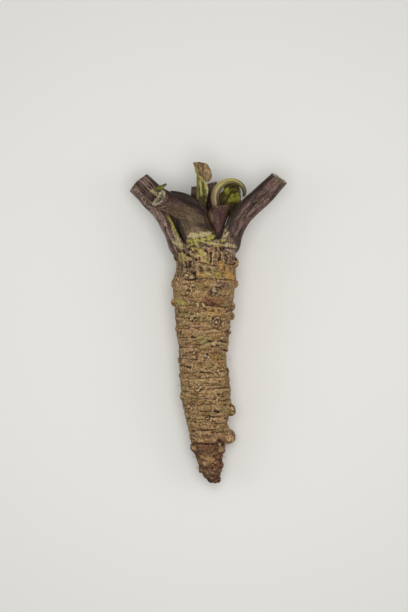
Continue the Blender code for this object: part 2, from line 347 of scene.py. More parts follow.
# Side buds: (y, degrees round from +x over the top, half length, half width, height, how far
# its middle stands out)
knobs = [
    (-10.2, 8, 3.3, 3.6, 2.6, -0.1), (-22.0, 6, 2.3, 2.6, 2.0, -0.2), (-34.4, 14, 2.6, 3.0, 2.0, -0.3),
    (-39.6, 6, 2.0, 2.4, 1.6, -0.3), (-48.4, 14, 1.7, 2.2, 1.7, -0.2), (-58.2, 10, 1.6, 2.0, 1.5, -0.3),
    (-70.0, 5, 2.0, 2.4, 1.4, -0.4), (-91.2, 10, 3.4, 3.2, 3.0, 0.0), (-101.8, 10, 3.4, 3.6, 2.6, -0.3),
    (-113.0, 26, 2.4, 2.6, 1.6, -0.4), (-121.8, 18, 2.0, 2.0, 1.3, 0.0), (-32.2, 172, 2.3, 2.6, 2.2, -0.3),
    (-21.8, 176, 2.6, 2.8, 1.5, -0.4), (-46.6, 158, 2.4, 2.8, 2.1, -0.2), (-64.0, 176, 1.9, 2.4, 1.3, -0.4),
    (-84.0, 170, 2.4, 2.4, 1.3, -0.4), (-112.2, 160, 2.6, 2.6, 1.8, -0.5),
    (-124.6, 152, 2.0, 2.2, 1.4, -0.3), (-7.0, 172, 2.6, 3.0, 1.5, -0.6), (-17.5, 119, 2.5, 3.8, 2.1, -0.5),
    (-26.0, 66, 2.6, 3.2, 1.5, -0.6), (-52.0, 110, 1.3, 1.7, 1.2, -0.4), (-60.0, 235, 2.6, 3.0, 2.0, -0.4),
    (-40.0, 300, 2.6, 3.0, 2.0, -0.4), (-15.0, 212, 3.0, 3.2, 2.2, -0.4), (-97.0, 222, 2.6, 2.8, 2.0, -0.4),
    (-80.0, 320, 2.5, 2.8, 2.0, -0.4), (-66.0, 330, 2.0, 2.4, 1.8, -0.4), (-12.0, 322, 2.8, 3.0, 2.2, -0.4),
    (-52.0, 215, 2.2, 2.4, 1.8, -0.4),
]
# Crowds of warts seen from above: (x, y, half width, half length, how many, darkness)
clusters = [
    (-8.2, -17.6, 3.0, 1.8, 11, 0.7), (-14.2, -21.6, 2.4, 2.6, 12, 0.5), (-8.4, -24.4, 3.4, 3.6, 22, 0.45),
    (6.6, -25.4, 4.2, 3.2, 24, 0.8), (16.2, -10.4, 2.0, 3.0, 14, 0.8), (13.4, -5.6, 2.6, 1.8, 10, 0.8),
    (-6.8, -39.2, 4.0, 2.6, 24, 0.6), (-13.0, -46.2, 1.8, 2.6, 11, 0.7), (5.0, -54.8, 2.4, 1.3, 10, 0.8),
    (13.6, -34.6, 2.2, 2.0, 9, 0.6), (-5.4, -58.6, 1.6, 1.2, 6, 0.5), (1.2, -61.6, 2.0, 1.2, 8, 0.6),
    (9.6, -53.4, 2.6, 2.6, 10, 0.35), (-12.4, -60.0, 1.2, 4.0, 10, 0.5), (-9.4, -68.6, 1.6, 1.4, 7, 0.7),
    (11.0, -43.0, 2.4, 2.6, 10, 0.35), (8.6, -19.6, 2.4, 1.4, 6, 0.3), (-2.0, -33.6, 2.4, 1.2, 7, 0.5),
    (7.0, -70.5, 3.0, 2.2, 11, 0.4), (-4.0, -78.0, 3.0, 2.2, 11, 0.5), (6.0, -84.0, 2.6, 2.2, 9, 0.5),
    (-7.0, -90.0, 2.6, 2.4, 11, 0.5), (3.0, -97.0, 3.4, 2.2, 13, 0.5), (8.4, -112.4, 2.0, 2.6, 10, 0.6),
    (-5.0, -112.0, 1.6, 2.6, 9, 0.8), (6.4, -122.0, 2.0, 3.0, 7, 0.7), (3.0, -127.5, 2.4, 2.6, 7, 0.7),
]
# Ring-shaped wounds: (x, y, radius)
rings = [(6.5, -43.0, 2.1), (-5.2, -58.6, 1.1), (-8.4, -17.8, 1.7), (2.0, -119.4, 1.3), (14.4, -22.0, 1.5)]
# Brush strokes seen from above: (tint, from x, y, to x, y, half width, strength, depth)
marks = [
    # the crown's rim
    ("yellow", -8.6, -1.4, -3.0, -2.6, 1.5, 1.3, 0.0), ("yellow", -2.0, -0.6, 8.0, -0.8, 1.1, 1.0, 0.0),
    ("yellow", 9.0, -0.8, 12.6, -2.0, 1.0, 0.7, 0.0), ("cream", -16.4, -2.0, -12.0, -3.0, 1.0, 0.7, 0.0),
    ("cream", 12.4, -1.6, 17.0, -2.4, 0.9, 0.8, 0.0), ("brown", -2.0, -1.6, 5.0, -2.2, 0.5, 0.9, 0.2),
    # the neck
    ("mauve", -11.6, -2.4, -9.0, -4.4, 1.9, 1.3, 0.0), ("plum", -14.6, -2.6, -13.2, -4.6, 0.9, 1.1, 0.5),
    ("plum", -12.0, -4.0, -9.4, -6.2, 0.9, 1.1, 0.5), ("plum", -9.4, -6.2, -4.6, -9.0, 0.8, 1.2, 0.7),
    ("mauve", -6.2, -9.6, -5.0, -12.4, 1.5, 0.9, 0.0), ("plum", -5.4, -3.0, -4.4, -4.6, 0.6, 1.1, 0.4),
    ("mauve", -3.0, -2.4, 2.6, -3.2, 1.1, 0.9, 0.0), ("yellow", -1.8, -5.0, 0.6, -9.0, 2.6, 1.1, -0.3),
    ("ochre", -1.0, -5.0, 2.6, -4.4, 0.8, 0.6, 0.0), ("yellow", -6.4, -4.4, -4.2, -6.6, 1.0, 0.6, 0.0),
    ("plum", 3.7, -5.4, 3.8, -10.0, 0.65, 1.3, 0.9), ("plum", 5.1, -7.6, 5.2, -12.0, 0.5, 1.2, 0.8),
    ("plum", 2.0, -7.4, 2.0, -9.6, 0.35, 1.0, 0.5), ("plum", 6.4, -2.0, 6.6, -4.8, 0.5, 1.0, 0.5),
    ("pale", 4.5, -6.0, 4.5, -11.5, 0.35, 0.8, -0.2), ("ochre", 8.4, -4.2, 9.4, -13.4, 1.9, 0.9, -0.2),
    ("yellow", 9.0, -3.0, 8.0, -7.0, 1.2, 0.7, 0.0), ("rust", 8.0, -5.0, 9.0, -12.0, 0.8, 0.3, 0.0),
    ("mauve", 11.8, -7.8, 15.4, -9.0, 2.3, 1.4, 0.0), ("mauve", 12.6, -3.4, 16.8, -4.6, 1.6, 0.8, 0.0),
    ("plum", 10.8, -2.2, 16.4, -3.0, 0.5, 0.9, 0.4), ("plum", 16.6, -4.6, 17.8, -8.6, 0.9, 1.2, 0.3),
    ("plum", 11.2, -10.8, 15.4, -11.8, 0.5, 0.9, 0.4), ("ochre", 14.0, -12.6, 17.6, -11.2, 0.9, 1.0, 0.0),
    ("ochre", 10.6, -14.0, 14.6, -18.4, 2.7, 1.2, 0.0), ("yellow", 4.8, -14.8, 8.2, -18.2, 2.0, 0.8, 0.0),
    ("yellow", 6.2, -15.6, 8.4, -17.8, 1.0, 0.5, 0.0), ("rust", 9.4, -16.4, 9.6, -18.2, 0.6, 0.8, 0.2),
    ("moss", -12.6, -7.0, -8.8, -8.8, 1.5, 0.7, 0.0), ("yellow", -14.6, -5.4, -12.4, -8.6, 1.9, 0.9, 0.0),
    ("moss", -3.4, -12.4, 6.0, -13.4, 1.0, 1.0, -0.25), ("pale", -1.0, -12.6, 5.0, -13.0, 0.5, 0.6, -0.1),
    ("brown", -2.6, -14.7, 3.6, -15.0, 0.35, 1.2, 0.4), ("plum", -3.4, -10.4, 1.4, -11.0, 0.4, 1.0, 0.5),
    ("plum", -15.6, -11.4, -14.8, -17.6, 0.7, 1.2, 0.6),
    ("plum", -12.6, -10.6, -12.4, -14.4, 0.45, 1.1, 0.5),
    ("plum", -10.4, -10.4, -9.8, -14.6, 0.5, 1.1, 0.5), ("plum", -8.0, -11.6, -8.4, -14.2, 0.4, 1.0, 0.4),
    ("grey", -12.4, -12.0, -7.0, -13.6, 2.4, 0.7, 0.0), ("grey", -13.4, -15.4, -11.6, -18.6, 1.6, 0.8, 0.0),
    ("grey", 3.0, -4.6, 14.6, -5.4, 3.0, 0.7, 0.0), ("brown", 5.4, -4.6, 14.0, -7.4, 3.0, 0.8, 0.0),
    ("brown", 1.0, -8.2, 9.6, -9.4, 2.4, 0.7, 0.0), ("moss", -13.6, -5.0, -5.0, -6.4, 2.2, 0.5, 0.0),
    ("grey", -13.0, -13.6, 12.0, -14.4, 3.2, 0.55, 0.0), ("olive", -2.0, -16.4, 9.0, -17.4, 2.4, 0.9, 0.0),
    ("brown", -12.0, -13.4, 11.0, -14.6, 2.8, 0.55, 0.0), ("plum", 12.0, -6.4, 13.6, -6.8, 0.6, 1.2, 0.3),
    ("plum", 15.2, -7.2, 16.2, -7.8, 0.5, 1.2, 0.3), ("plum", 12.0, -3.8, 13.0, -4.4, 0.5, 1.2, 0.3),
    ("plum", 11.6, -9.6, 12.8, -9.8, 0.4, 1.1, 0.2), ("plum", 8.6, -6.2, 9.0, -9.2, 0.4, 1.0, 0.4),
    ("plum", 0.2, -3.6, 1.0, -4.6, 0.5, 1.1, 0.4), ("plum", -8.0, -3.0, -7.2, -3.8, 0.5, 1.1, 0.4),
    ("plum", 8.8, -3.0, 10.0, -4.2, 0.5, 1.1, 0.4), ("plum", 13.8, -3.6, 15.0, -4.6, 0.5, 1.1, 0.4),
    # the crown bud and the wounds round it
    ("plum", -10.4, -19.5, -5.4, -19.9, 0.5, 1.3, 0.5), ("plum", -5.3, -15.9, -5.0, -19.4, 0.7, 1.2, 0.5),
    ("plum", -11.8, -17.8, -9.4, -15.2, 0.5, 1.1, 0.4), ("plum", -7.4, -15.9, -5.6, -17.6, 1.0, 1.3, 0.3),
    ("brown", -10.6, -17.6, -6.4, -16.6, 1.7, 0.9, 0.0),
    ("ochre", -10.2, -18.4, -7.4, -18.6, 0.6, 0.7, 0.0), ("ochre", -4.2, -16.6, 0.4, -17.6, 1.1, 0.9, 0.0),
    ("pale", 1.6, -16.4, 3.6, -17.2, 0.7, 1.3, -0.2), ("brown", -4.8, -18.9, 15.0, -20.0, 0.3, 1.2, 0.35),
    ("mauve", 7.8, -21.8, 10.8, -23.8, 1.8, 1.2, -0.3), ("plum", 7.8, -21.8, 8.6, -23.8, 0.4, 1.0, 0.3),
    ("plum", 9.6, -24.0, 11.2, -21.8, 0.4, 1.1, 0.3), ("plum", 2.6, -27.6, 6.2, -26.2, 1.5, 1.4, 0.6),
    ("plum", 3.6, -25.2, 6.4, -24.6, 0.8, 1.2, 0.3), ("brown", 7.4, -28.2, 14.6, -28.4, 0.35, 0.9, 0.2),
    ("rust", 1.0, -30.8, 8.4, -32.4, 2.3, 1.3, 0.0), ("ochre", -1.0, -28.4, 2.4, -28.0, 0.9, 0.6, 0.0),
    ("plum", 1.0, -30.4, 4.0, -32.6, 1.0, 1.2, 0.0), ("plum", 5.0, -33.2, 7.6, -33.4, 0.5, 1.0, 0.3),
    ("plum", 4.4, -32.6, 8.4, -33.8, 0.8, 0.9, 0.2), ("brown", -11.4, -31.0, -1.6, -32.2, 2.0, 0.8, 0.0),
    ("brown", 8.6, -30.6, 13.6, -32.4, 2.0, 0.8, 0.0), ("plum", 1.0, -33.6, 9.2, -34.6, 0.45, 1.2, 0.45),
    ("brown", 9.0, -34.6, 12.6, -34.8, 0.4, 1.2, 0.4), ("rust", 7.0, -33.4, 10.6, -33.4, 0.9, 0.7, 0.0),
    ("yellow", -15.0, -31.0, -11.4, -32.4, 1.7, 1.1, 0.0),
    ("yellow", -9.0, -28.2, -5.4, -28.8, 0.8, 0.7, 0.0),
    ("brown", -14.8, -34.0, -2.0, -33.4, 0.35, 0.8, 0.25),
    ("moss", -3.6, -22.0, -2.6, -25.0, 1.5, 0.8, 0.0), ("pink", -15.4, -21.6, -7.0, -23.0, 2.4, 0.8, 0.0),
    ("brown", -14.4, -35.4, -14.0, -37.4, 0.7, 1.0, 0.3), ("plum", 13.4, -35.0, 14.6, -36.0, 0.5, 1.1, 0.3),
    ("ochre", 3.0, -37.0, 9.0, -38.0, 1.7, 0.7, 0.0), ("moss", -1.0, -39.6, 2.0, -43.6, 2.4, 0.5, 0.0),
    ("olive", -11.0, -38.4, -4.4, -40.0, 2.2, 0.8, 0.0),
    ("plum", -10.4, -37.4, -8.8, -37.8, 0.35, 1.1, 0.4), ("plum", -7.4, -38.8, -6.0, -38.6, 0.4, 1.1, 0.4),
    ("plum", -9.4, -40.4, -8.0, -40.8, 0.4, 1.1, 0.4), ("plum", -5.4, -41.2, -4.2, -40.8, 0.35, 1.0, 0.4),
    ("brown", -12.0, -42.2, -3.6, -42.6, 0.3, 0.9, 0.25),
    ("pink", -13.4, -41.4, -10.4, -44.4, 1.8, 0.8, 0.0), ("plum", 4.6, -41.4, 8.4, -41.5, 0.65, 1.2, 0.4),
    ("plum", 9.0, -42.0, 9.4, -43.6, 0.3, 0.9, 0.3), ("brown", 5.0, -45.0, 8.6, -44.8, 0.4, 1.0, 0.3),
    # lines and holes along the body
    ("brown", -13.6, -45.4, 4.0, -45.8, 0.28, 0.8, 0.2),
    ("plum", -14.2, -47.8, -12.8, -48.4, 0.7, 1.2, 0.5), ("plum", 12.4, -47.6, 13.6, -48.8, 0.6, 1.1, 0.4),
    ("brown", 2.0, -49.0, 12.0, -48.6, 0.28, 0.8, 0.25), ("plum", -6.8, -50.8, -5.4, -51.6, 0.65, 1.3, 0.6),
    ("brown", -14.0, -51.4, -5.0, -51.2, 0.35, 1.2, 0.4), ("plum", 2.2, -53.0, 3.6, -53.4, 0.5, 1.0, 0.4),
    ("plum", 3.4, -55.8, 4.8, -56.4, 0.45, 1.1, 0.4), ("plum", 5.6, -54.6, 7.0, -55.8, 0.35, 1.0, 0.3),
    ("brown", -12.8, -55.2, 0.0, -55.6, 0.28, 0.8, 0.25),
    ("plum", -14.0, -56.6, -12.6, -57.2, 0.7, 1.3, 0.5), ("plum", 10.6, -58.0, 12.2, -58.6, 0.55, 1.2, 0.5),
    ("brown", 3.6, -59.8, 12.0, -60.2, 0.3, 1.0, 0.3), ("brown", -10.6, -59.8, -6.4, -59.4, 0.3, 0.9, 0.25),
    ("plum", 1.5, -60.2, 0.2, -62.0, 0.5, 1.2, 0.5), ("plum", -5.6, -63.5, -4.2, -63.6, 0.4, 1.2, 0.4),
    ("plum", -7.4, -63.4, -6.4, -63.6, 0.35, 1.0, 0.3), ("plum", -13.4, -61.0, -13.4, -64.8, 0.5, 1.0, 0.3),
    ("plum", -10.0, -67.6, -8.4, -67.8, 0.75, 1.3, 0.7),
    ("brown", -11.0, -67.2, -7.2, -67.4, 0.4, 1.0, 0.3), ("plum", 2.8, -68.0, 4.0, -67.8, 0.35, 1.0, 0.3),
    ("plum", -2.6, -70.2, 2.8, -70.4, 0.4, 1.3, 0.6), ("brown", -5.4, -70.6, 5.0, -71.0, 0.3, 0.9, 0.3),
    ("plum", 2.4, -72.6, 4.0, -72.4, 0.35, 1.0, 0.3), ("rust", -11.6, -70.0, -7.0, -71.4, 1.4, 0.7, 0.0),
    ("brown", -12.6, -73.6, 1.0, -74.0, 0.35, 1.0, 0.3), ("moss", -3.0, -50.4, 5.0, -54.4, 2.6, 0.5, 0.0),
    ("pink", -12.6, -46.6, -4.0, -48.6, 1.6, 0.6, 0.0), ("olive", -12.4, -44.6, -9.0, -43.0, 1.4, 0.5, 0.0),
    ("pink", -9.0, -58.0, -3.0, -58.6, 1.2, 0.6, 0.0), ("moss", -1.0, -64.0, 7.0, -66.4, 2.2, 0.5, 0.0),
    ("pink", -13.0, -68.4, -6.0, -69.4, 1.4, 0.5, 0.0),
    ("mauve", -11.6, -60.4, -7.4, -65.0, 2.2, 0.65, 0.0), ("ochre", 6.0, -61.6, 9.0, -66.0, 2.2, 0.7, 0.0),
    ("moss", -3.6, -51.0, 1.6, -55.0, 2.4, 0.6, 0.0), ("brown", 7.0, -65.0, 12.0, -65.4, 0.28, 0.8, 0.2),
    ("brown", 0.0, -77.6, 9.0, -77.4, 0.3, 1.0, 0.3), ("brown", -11.0, -81.0, -2.0, -80.6, 0.3, 1.0, 0.3),
    ("brown", -9.0, -84.6, 6.0, -85.0, 0.3, 1.0, 0.3), ("plum", 6.0, -91.8, 7.6, -92.2, 0.9, 1.2, 0.5),
    ("brown", -2.0, -91.6, 10.0, -91.8, 0.3, 1.0, 0.3), ("plum", -10.4, -90.2, -9.2, -90.8, 0.5, 1.1, 0.4),
    ("brown", -9.6, -96.0, 5.0, -96.4, 0.3, 1.0, 0.3),
    ("brown", -1.0, -102.4, 8.0, -102.0, 0.35, 1.0, 0.35),
    # the old end
    ("plum", -7.4, -107.4, -5.8, -107.6, 0.6, 1.4, 0.5),
    ("cream", -2.6, -108.2, 5.6, -108.0, 1.3, 0.9, -0.2),
    ("ochre", 0.4, -108.6, 2.0, -107.6, 0.6, 0.8, 0.0), ("plum", -4.6, -110.0, 6.4, -109.8, 0.45, 1.3, 0.7),
    ("rust", -3.0, -111.2, 5.0, -111.8, 1.0, 0.45, 0.0),
    ("ochre", -4.4, -113.0, 2.0, -113.4, 1.2, 0.6, 0.0), ("plum", 1.0, -111.0, 8.0, -112.4, 0.8, 0.8, 0.0),
    ("plum", 7.6, -107.6, 10.4, -109.8, 1.1, 1.4, 0.7), ("plum", 7.0, -109.8, 11.2, -110.8, 0.8, 1.2, 0.4),
    ("mauve", -1.4, -113.2, 4.4, -114.4, 1.6, 0.7, 0.0),
    ("cream", -6.0, -111.4, -5.4, -113.2, 0.8, 0.9, 0.0),
    ("plum", -4.4, -110.4, -3.8, -114.4, 0.6, 1.2, 0.5),
    ("plum", -5.8, -115.0, -4.2, -116.2, 0.5, 1.3, 0.4), ("cream", 8.0, -112.6, 9.8, -113.6, 1.1, 0.8, 0.0),
    ("cream", -1.6, -117.4, 3.4, -118.0, 1.2, 1.2, -0.2),
    ("cream", 0.2, -120.8, 5.0, -119.2, 1.4, 1.2, -0.2), ("pink", -2.0, -115.0, 4.8, -115.4, 1.2, 0.8, 0.0),
    ("plum", -0.2, -119.0, 1.2, -119.4, 0.5, 1.3, 0.4), ("rust", 6.4, -118.4, 7.4, -123.6, 1.0, 0.5, 0.0),
    ("plum", -0.6, -121.8, 2.0, -123.4, 0.5, 1.0, 0.4), ("plum", 8.8, -117.0, 9.2, -121.6, 0.6, 1.1, 0.4),
    ("grey", 0.6, -125.4, 3.0, -128.4, 1.3, 0.7, 0.0), ("plum", -1.8, -125.6, -1.0, -127.2, 0.5, 1.2, 0.3),
    ("plum", 7.4, -128.4, 8.6, -129.4, 0.5, 1.2, 0.3), ("plum", 4.6, -130.0, 7.4, -132.2, 1.3, 1.3, 0.2),
    ("cream", 4.6, -126.0, 6.4, -127.6, 0.6, 0.6, 0.0), ("rust", 5.4, -129.6, 7.0, -131.6, 0.7, 0.6, 0.0),
    ("olive", 12.4, -90.4, 13.6, -93.4, 1.6, 0.9, 0.0), ("grey", 10.6, -100.6, 13.4, -103.0, 1.4, 0.6, 0.0),
]
# plum and brown are the skin's own colours and also carry the painted shade laid in its dips, creases and
# at its buds' feet
rootTints = (
    "plum", "pale", "rust", "olive", "yellow", "ochre", "pink", "moss", "grey", "mauve", "brown", "cream",
)


class Skin:
    # the root's surface, rows along it and columns round it, and what has been worked into it

    def __init__(self):
        profile = curveThrough(rootProfile, 1200)
        run = np.concatenate([[0], np.cumsum(np.linalg.norm(np.diff(profile, axis=0), axis=1))])
        want = np.linspace(0.15, run[-1] - 0.05, int(run[-1] / root["rowStep"]))
        self.y = np.interp(want, run, profile[:, 0])
        self.r = np.interp(want, run, profile[:, 1])
        dy, dr = np.gradient(self.y), np.gradient(self.r)
        self.outR, self.outY = -dy / np.hypot(dy, dr), dr / np.hypot(dy, dr)
        line = np.array(rootLine[::-1])
        self.middle = np.interp(self.y, line[:, 0], line[:, 1])
        self.turn = np.linspace(0, math.tau, root["columns"], endpoint=False)
        shape = (len(self.y), len(self.turn))
        self.along = np.broadcast_to(-self.y[:, None], shape)
        self.angle = np.broadcast_to(self.turn, shape)
        self.radius = np.broadcast_to(self.r[:, None], shape)
        x, z = self.radius * np.cos(self.angle), self.radius * np.sin(self.angle)
        self.flesh = np.stack([x, -self.along, z], -1)
        self.rise = np.zeros(shape)
        self.buds = np.zeros(shape)  # the part of the rise that knobs make
        self.warts, self.pits = np.zeros(shape), np.zeros(shape)
        self.tints = {name: np.zeros(shape) for name in rootTints}

    def near(self, s, degrees, reach):
        # the rows within reach of a spot, and each point's distance from it along and round
        rows = np.flatnonzero(np.abs(self.y + s) < reach)
        cut = slice(rows[0], rows[-1] + 1) if len(rows) else slice(0, 0)
        swing = (self.angle[cut] - math.radians(degrees) + math.pi) % math.tau - math.pi
        return cut, self.along[cut] - s, swing * self.radius[cut]

    def fromAbove(self, x, y):
        k = int(np.argmin(np.abs(self.y - y)))
        return -y, math.degrees(math.acos(np.clip((x - self.middle[k]) / self.r[k], -0.99, 0.99)))

    def tint(self, name, cut, amount):
        self.tints[name][cut] += amount

    def wart(self, s, degrees, size, height, dark=0.0):
        cut, ds, dw = self.near(s, degrees, 2.2 * size)
        bend = noise(self.flesh[cut], 0.9, 91, 2)
        d = np.hypot(ds, dw) / size * (1 + 0.4 * bend)
        self.warts[cut] = np.maximum(self.warts[cut], height * np.sqrt(np.maximum(1 - d**2, 0)))
        rim = hill(d, 1.2, 0.35) * np.clip(0.6 + 0.5 * ds / size + bend, 0, 1.3)
        self.pits[cut] = np.maximum(self.pits[cut], 0.5 * height * rim)
        # the plum rim is the wart's dark outline and also painted shade in the dip round its foot, heavier
        # on its side towards the tip
        self.tint("plum", cut, 1.1 * dark * rim)
        self.tint("pale", cut, (0.5 + height) * np.exp(-(d**2) * 2.5))

    def knob(self, s, degrees, long, wide, tall, lift):
        # a buried egg: points move out to where a ray from the middle line leaves it
        cut, ds, dw = self.near(s, degrees, long)
        swing = dw / self.radius[cut]
        depth = np.interp(-s, self.y[::-1], self.r[::-1]) + lift
        a = np.cos(swing) ** 2 / tall**2 + np.sin(swing) ** 2 / wide**2
        b = depth * np.cos(swing) / tall**2
        inside = b**2 - a * (depth**2 / tall**2 + (ds / long) ** 2 - 1)
        leaves = np.where((inside > 0) & (b > 0), (b + np.sqrt(np.maximum(inside, 0))) / a, 0)
        grown = smoothMax(self.rise[cut], leaves - self.radius[cut], 0.4)
        gap = leaves - self.radius[cut] - self.rise[cut]
        foot = hill(gap, 0.1, 0.3) * (leaves > 0)
        self.buds[cut] += grown - self.rise[cut]
        self.tints["brown"][cut] *= 1 - 0.8 * ease(0.1, 0.5, grown - self.rise[cut])
        self.rise[cut] = grown - 0.25 * foot
        # the plum round the bud's foot is painted shade where it meets the body
        self.tint("plum", cut, 0.75 * foot)

    def ring(self, s, degrees, size):
        cut, ds, dw = self.near(s, degrees, 2 * size)
        d = np.hypot(ds, dw) / size
        d = d * (1 + 0.3 * noise(self.flesh[cut], 1.4, 93, 2))
        self.rise[cut] += 0.5 * hill(d, 0.95, 0.25) - 0.5 * hill(d, 0.62, 0.16)
        self.rise[cut] += 0.3 * hill(d, 0, 0.35) - 0.3 * hill(d, 1.3, 0.16)
        # the plum arc on the inner wall, on the side towards the crown, is painted shade
        dark = hill(d, 0.66, 0.22) * np.clip(0.35 - 1.2 * ds / size, 0, 1)
        self.tint("plum", cut, 1.4 * dark)
        self.tint("pale", cut, 0.9 * hill(d, 0, 0.36))

    def slit(self, s, degrees, half, depth):
        cut, ds, dw = self.near(s, degrees, 2.4)
        wave = 0.5 * noise(self.flesh[cut] * (1, 0, 1) + (0, 3.1 * s, 0), 2.6, 97, 2)
        line = hill(ds, wave, 0.30) * (1 - ease(0.55 * half, half, np.abs(dw)))
        self.rise[cut] -= depth * line
        # the brown in the slit, darker the deeper it is, is painted shade
        self.tint("brown", cut, 1.1 * depth * line)

    def mark(self, tint, x0, y0, x1, y1, half, strength, depth):
        out = self.radius + self.buds
        x = self.middle[:, None] + out * np.cos(self.angle)
        above = np.stack([x, -self.along, out * np.sin(self.angle)], -1)
        seed = int(40 + abs(7 * y0))
        drawn = stroke(above, x0, y0, x1, y1, half, seed) * ease(-0.1, 0.1, np.sin(self.angle))
        self.tints[tint] += strength * drawn
        if tint not in ("brown", "plum"):
            for dark in ("brown", "plum"):
                self.tints[dark] *= 1 - 0.8 * drawn
        self.rise -= 0.7 * depth * drawn

    def patch(self, s, degrees, wide, long, name, strength):
        cut, ds, dw = self.near(s, degrees, 2 * long)
        d = np.hypot(ds / long, dw / wide) + 0.42 * noise(self.flesh[cut], 1.7, 61, 3)
        self.tint(name, cut, strength * (1 - ease(0.55, 1.25, d)))

    def cluster(self, rng, s, degrees, wide, long, count, dark):
        self.patch(s, degrees, 1.2 * wide, 1.2 * long, "brown", 0.55 * dark)
        around = wide / max(np.interp(-s, self.y[::-1], self.r[::-1]), 1)
        for _ in range(count):
            size = 0.36 + 0.5 * rng.uniform(0, 1) ** 2
            far, way = math.sqrt(rng.uniform(0, 1)), rng.uniform(0, math.tau)
            spot = s + long * far * math.sin(way), degrees + math.degrees(around * far * math.cos(way))
            self.wart(*spot, size, size * rng.uniform(0.4, 0.75), dark * rng.uniform(0.6, 1.4))


def workLeafScars(skin, rng):
    # ledges that run part of the way round, one after another up a spiral
    (s0, last), k = root["scarRange"], 0
    while s0 < last:
        centre = (root["scarTurn"] * k + 40) % 360 + rng.uniform(-12, 12)
        reach = root["scarReach"] * rng.uniform(0.75, 1.1)
        swing = (np.degrees(skin.turn) - centre + 180) % 360 - 180
        x, z = np.cos(skin.turn) * 16, np.sin(skin.turn) * 16
        ringPoint = np.stack([x, np.full(len(swing), s0 * 3.1), z], -1)
        wave = 1.0 * noise(ringPoint, 7.0, 31 + k) + 0.4 * noise(ringPoint, 1.9, 77 + k, 2)
        path = s0 + 0.9 * (1 - np.cos(np.radians(swing))) + wave
        window = 1 - ease(reach * 0.7, reach, np.abs(swing))
        power = rng.uniform(0.45, 1.2)
        cut = skin.near(s0, 0, 6)[0]
        d = skin.along[cut] - path
        grow = window * power * ease(12.0, 60.0, skin.along[cut]) ** 0.5
        skin.rise[cut] += grow * root["ledge"] * hill(d, 0, np.where(d > 0, 2.0, 0.55))
        cleft = grow * hill(d, -0.85, 0.4) * (0.5 + 0.5 * noise(skin.flesh[cut], 2.6, 51 + k, 2))
        skin.rise[cut] -= root["cleft"] * cleft
        # the brown in the cleft below each ledge is painted shade
        skin.tint("brown", cut, 0.9 * cleft)
        s0 += np.interp(s0, (0, last), root["scarPitch"]) * rng.uniform(0.75, 1.25)
        k += 1


def workCrown(skin):
    along, flesh = skin.along, skin.flesh
    # the heart under the stalks, with a torn fresh rim; the plum over its top is painted shade under the
    # stalks, and the plum in the low places of the torn rim is painted shade
    torn = warped(flesh, 2.6, 0.9, 171)
    tatter = noise(torn, (1.7, 3.0, 1.7), 71, 3)
    skin.rise += band(-1.5, 4.5, 2.0, along) * (1.1 * tatter)
    skin.tints["yellow"] += 0.9 * ease(-0.1, 0.4, tatter) * band(0.0, 2.6, 1.6, along + 1.8 * tatter)
    shadeUnderStalks = 1.2 * (1 - ease(-1.6, 1.2, along))
    skin.tints["plum"] += shadeUnderStalks + ease(0.1, 0.5, -tatter) * band(0.5, 6.5, 1.5, along)
    # upright fibres and flaps of old leaf bases on the neck; the plum between the fibres and the brown
    # under the flaps are painted shade, and the pale on the fibres' tops is painted highlight
    neck = ease(3.0, 6.0, along) * (1 - ease(12.0, 18.0, along + 3 * tatter))
    fibre = noise(torn, (1.0, 4.2, 1.0), 75, 3)
    flaps = noise(torn, (2.8, 4.0, 2.8), 79, 3)
    skin.rise += neck * (0.45 * fibre + 0.8 * flaps)
    skin.tints["plum"] += neck * 0.9 * ease(0.15, 0.5, -fibre)
    skin.tints["moss"] += neck * 0.6 * ease(0.05, 0.4, flaps)
    skin.tints["brown"] += neck * 0.8 * ease(0.05, 0.4, -flaps)
    skin.tints["pale"] += neck * 0.6 * ease(0.35, 0.65, fibre)


def workOldEnd(skin):
    old = ease(*root["oldEnd"], skin.along)
    lumps, grit = noise(skin.flesh, (3.4, 2.8, 3.4), 81, 2), noise(skin.flesh, 1.1, 85, 2)
    skin.rise += old * (0.8 * lumps + 0.22 * grit)
    skin.tints["brown"] += 0.5 * old * ease(-0.6, 0.3, noise(skin.flesh, 4.0, 83, 2))
    skin.tints["rust"] += 0.3 * old
    skin.tints["mauve"] += 0.5 * ease(118, 126, skin.along)
    spots = ease(0.1, 0.5, noise(skin.flesh, 2.2, 87, 2))
    skin.tints["plum"] += 0.8 * ease(122, 131, skin.along) + 0.5 * old * spots


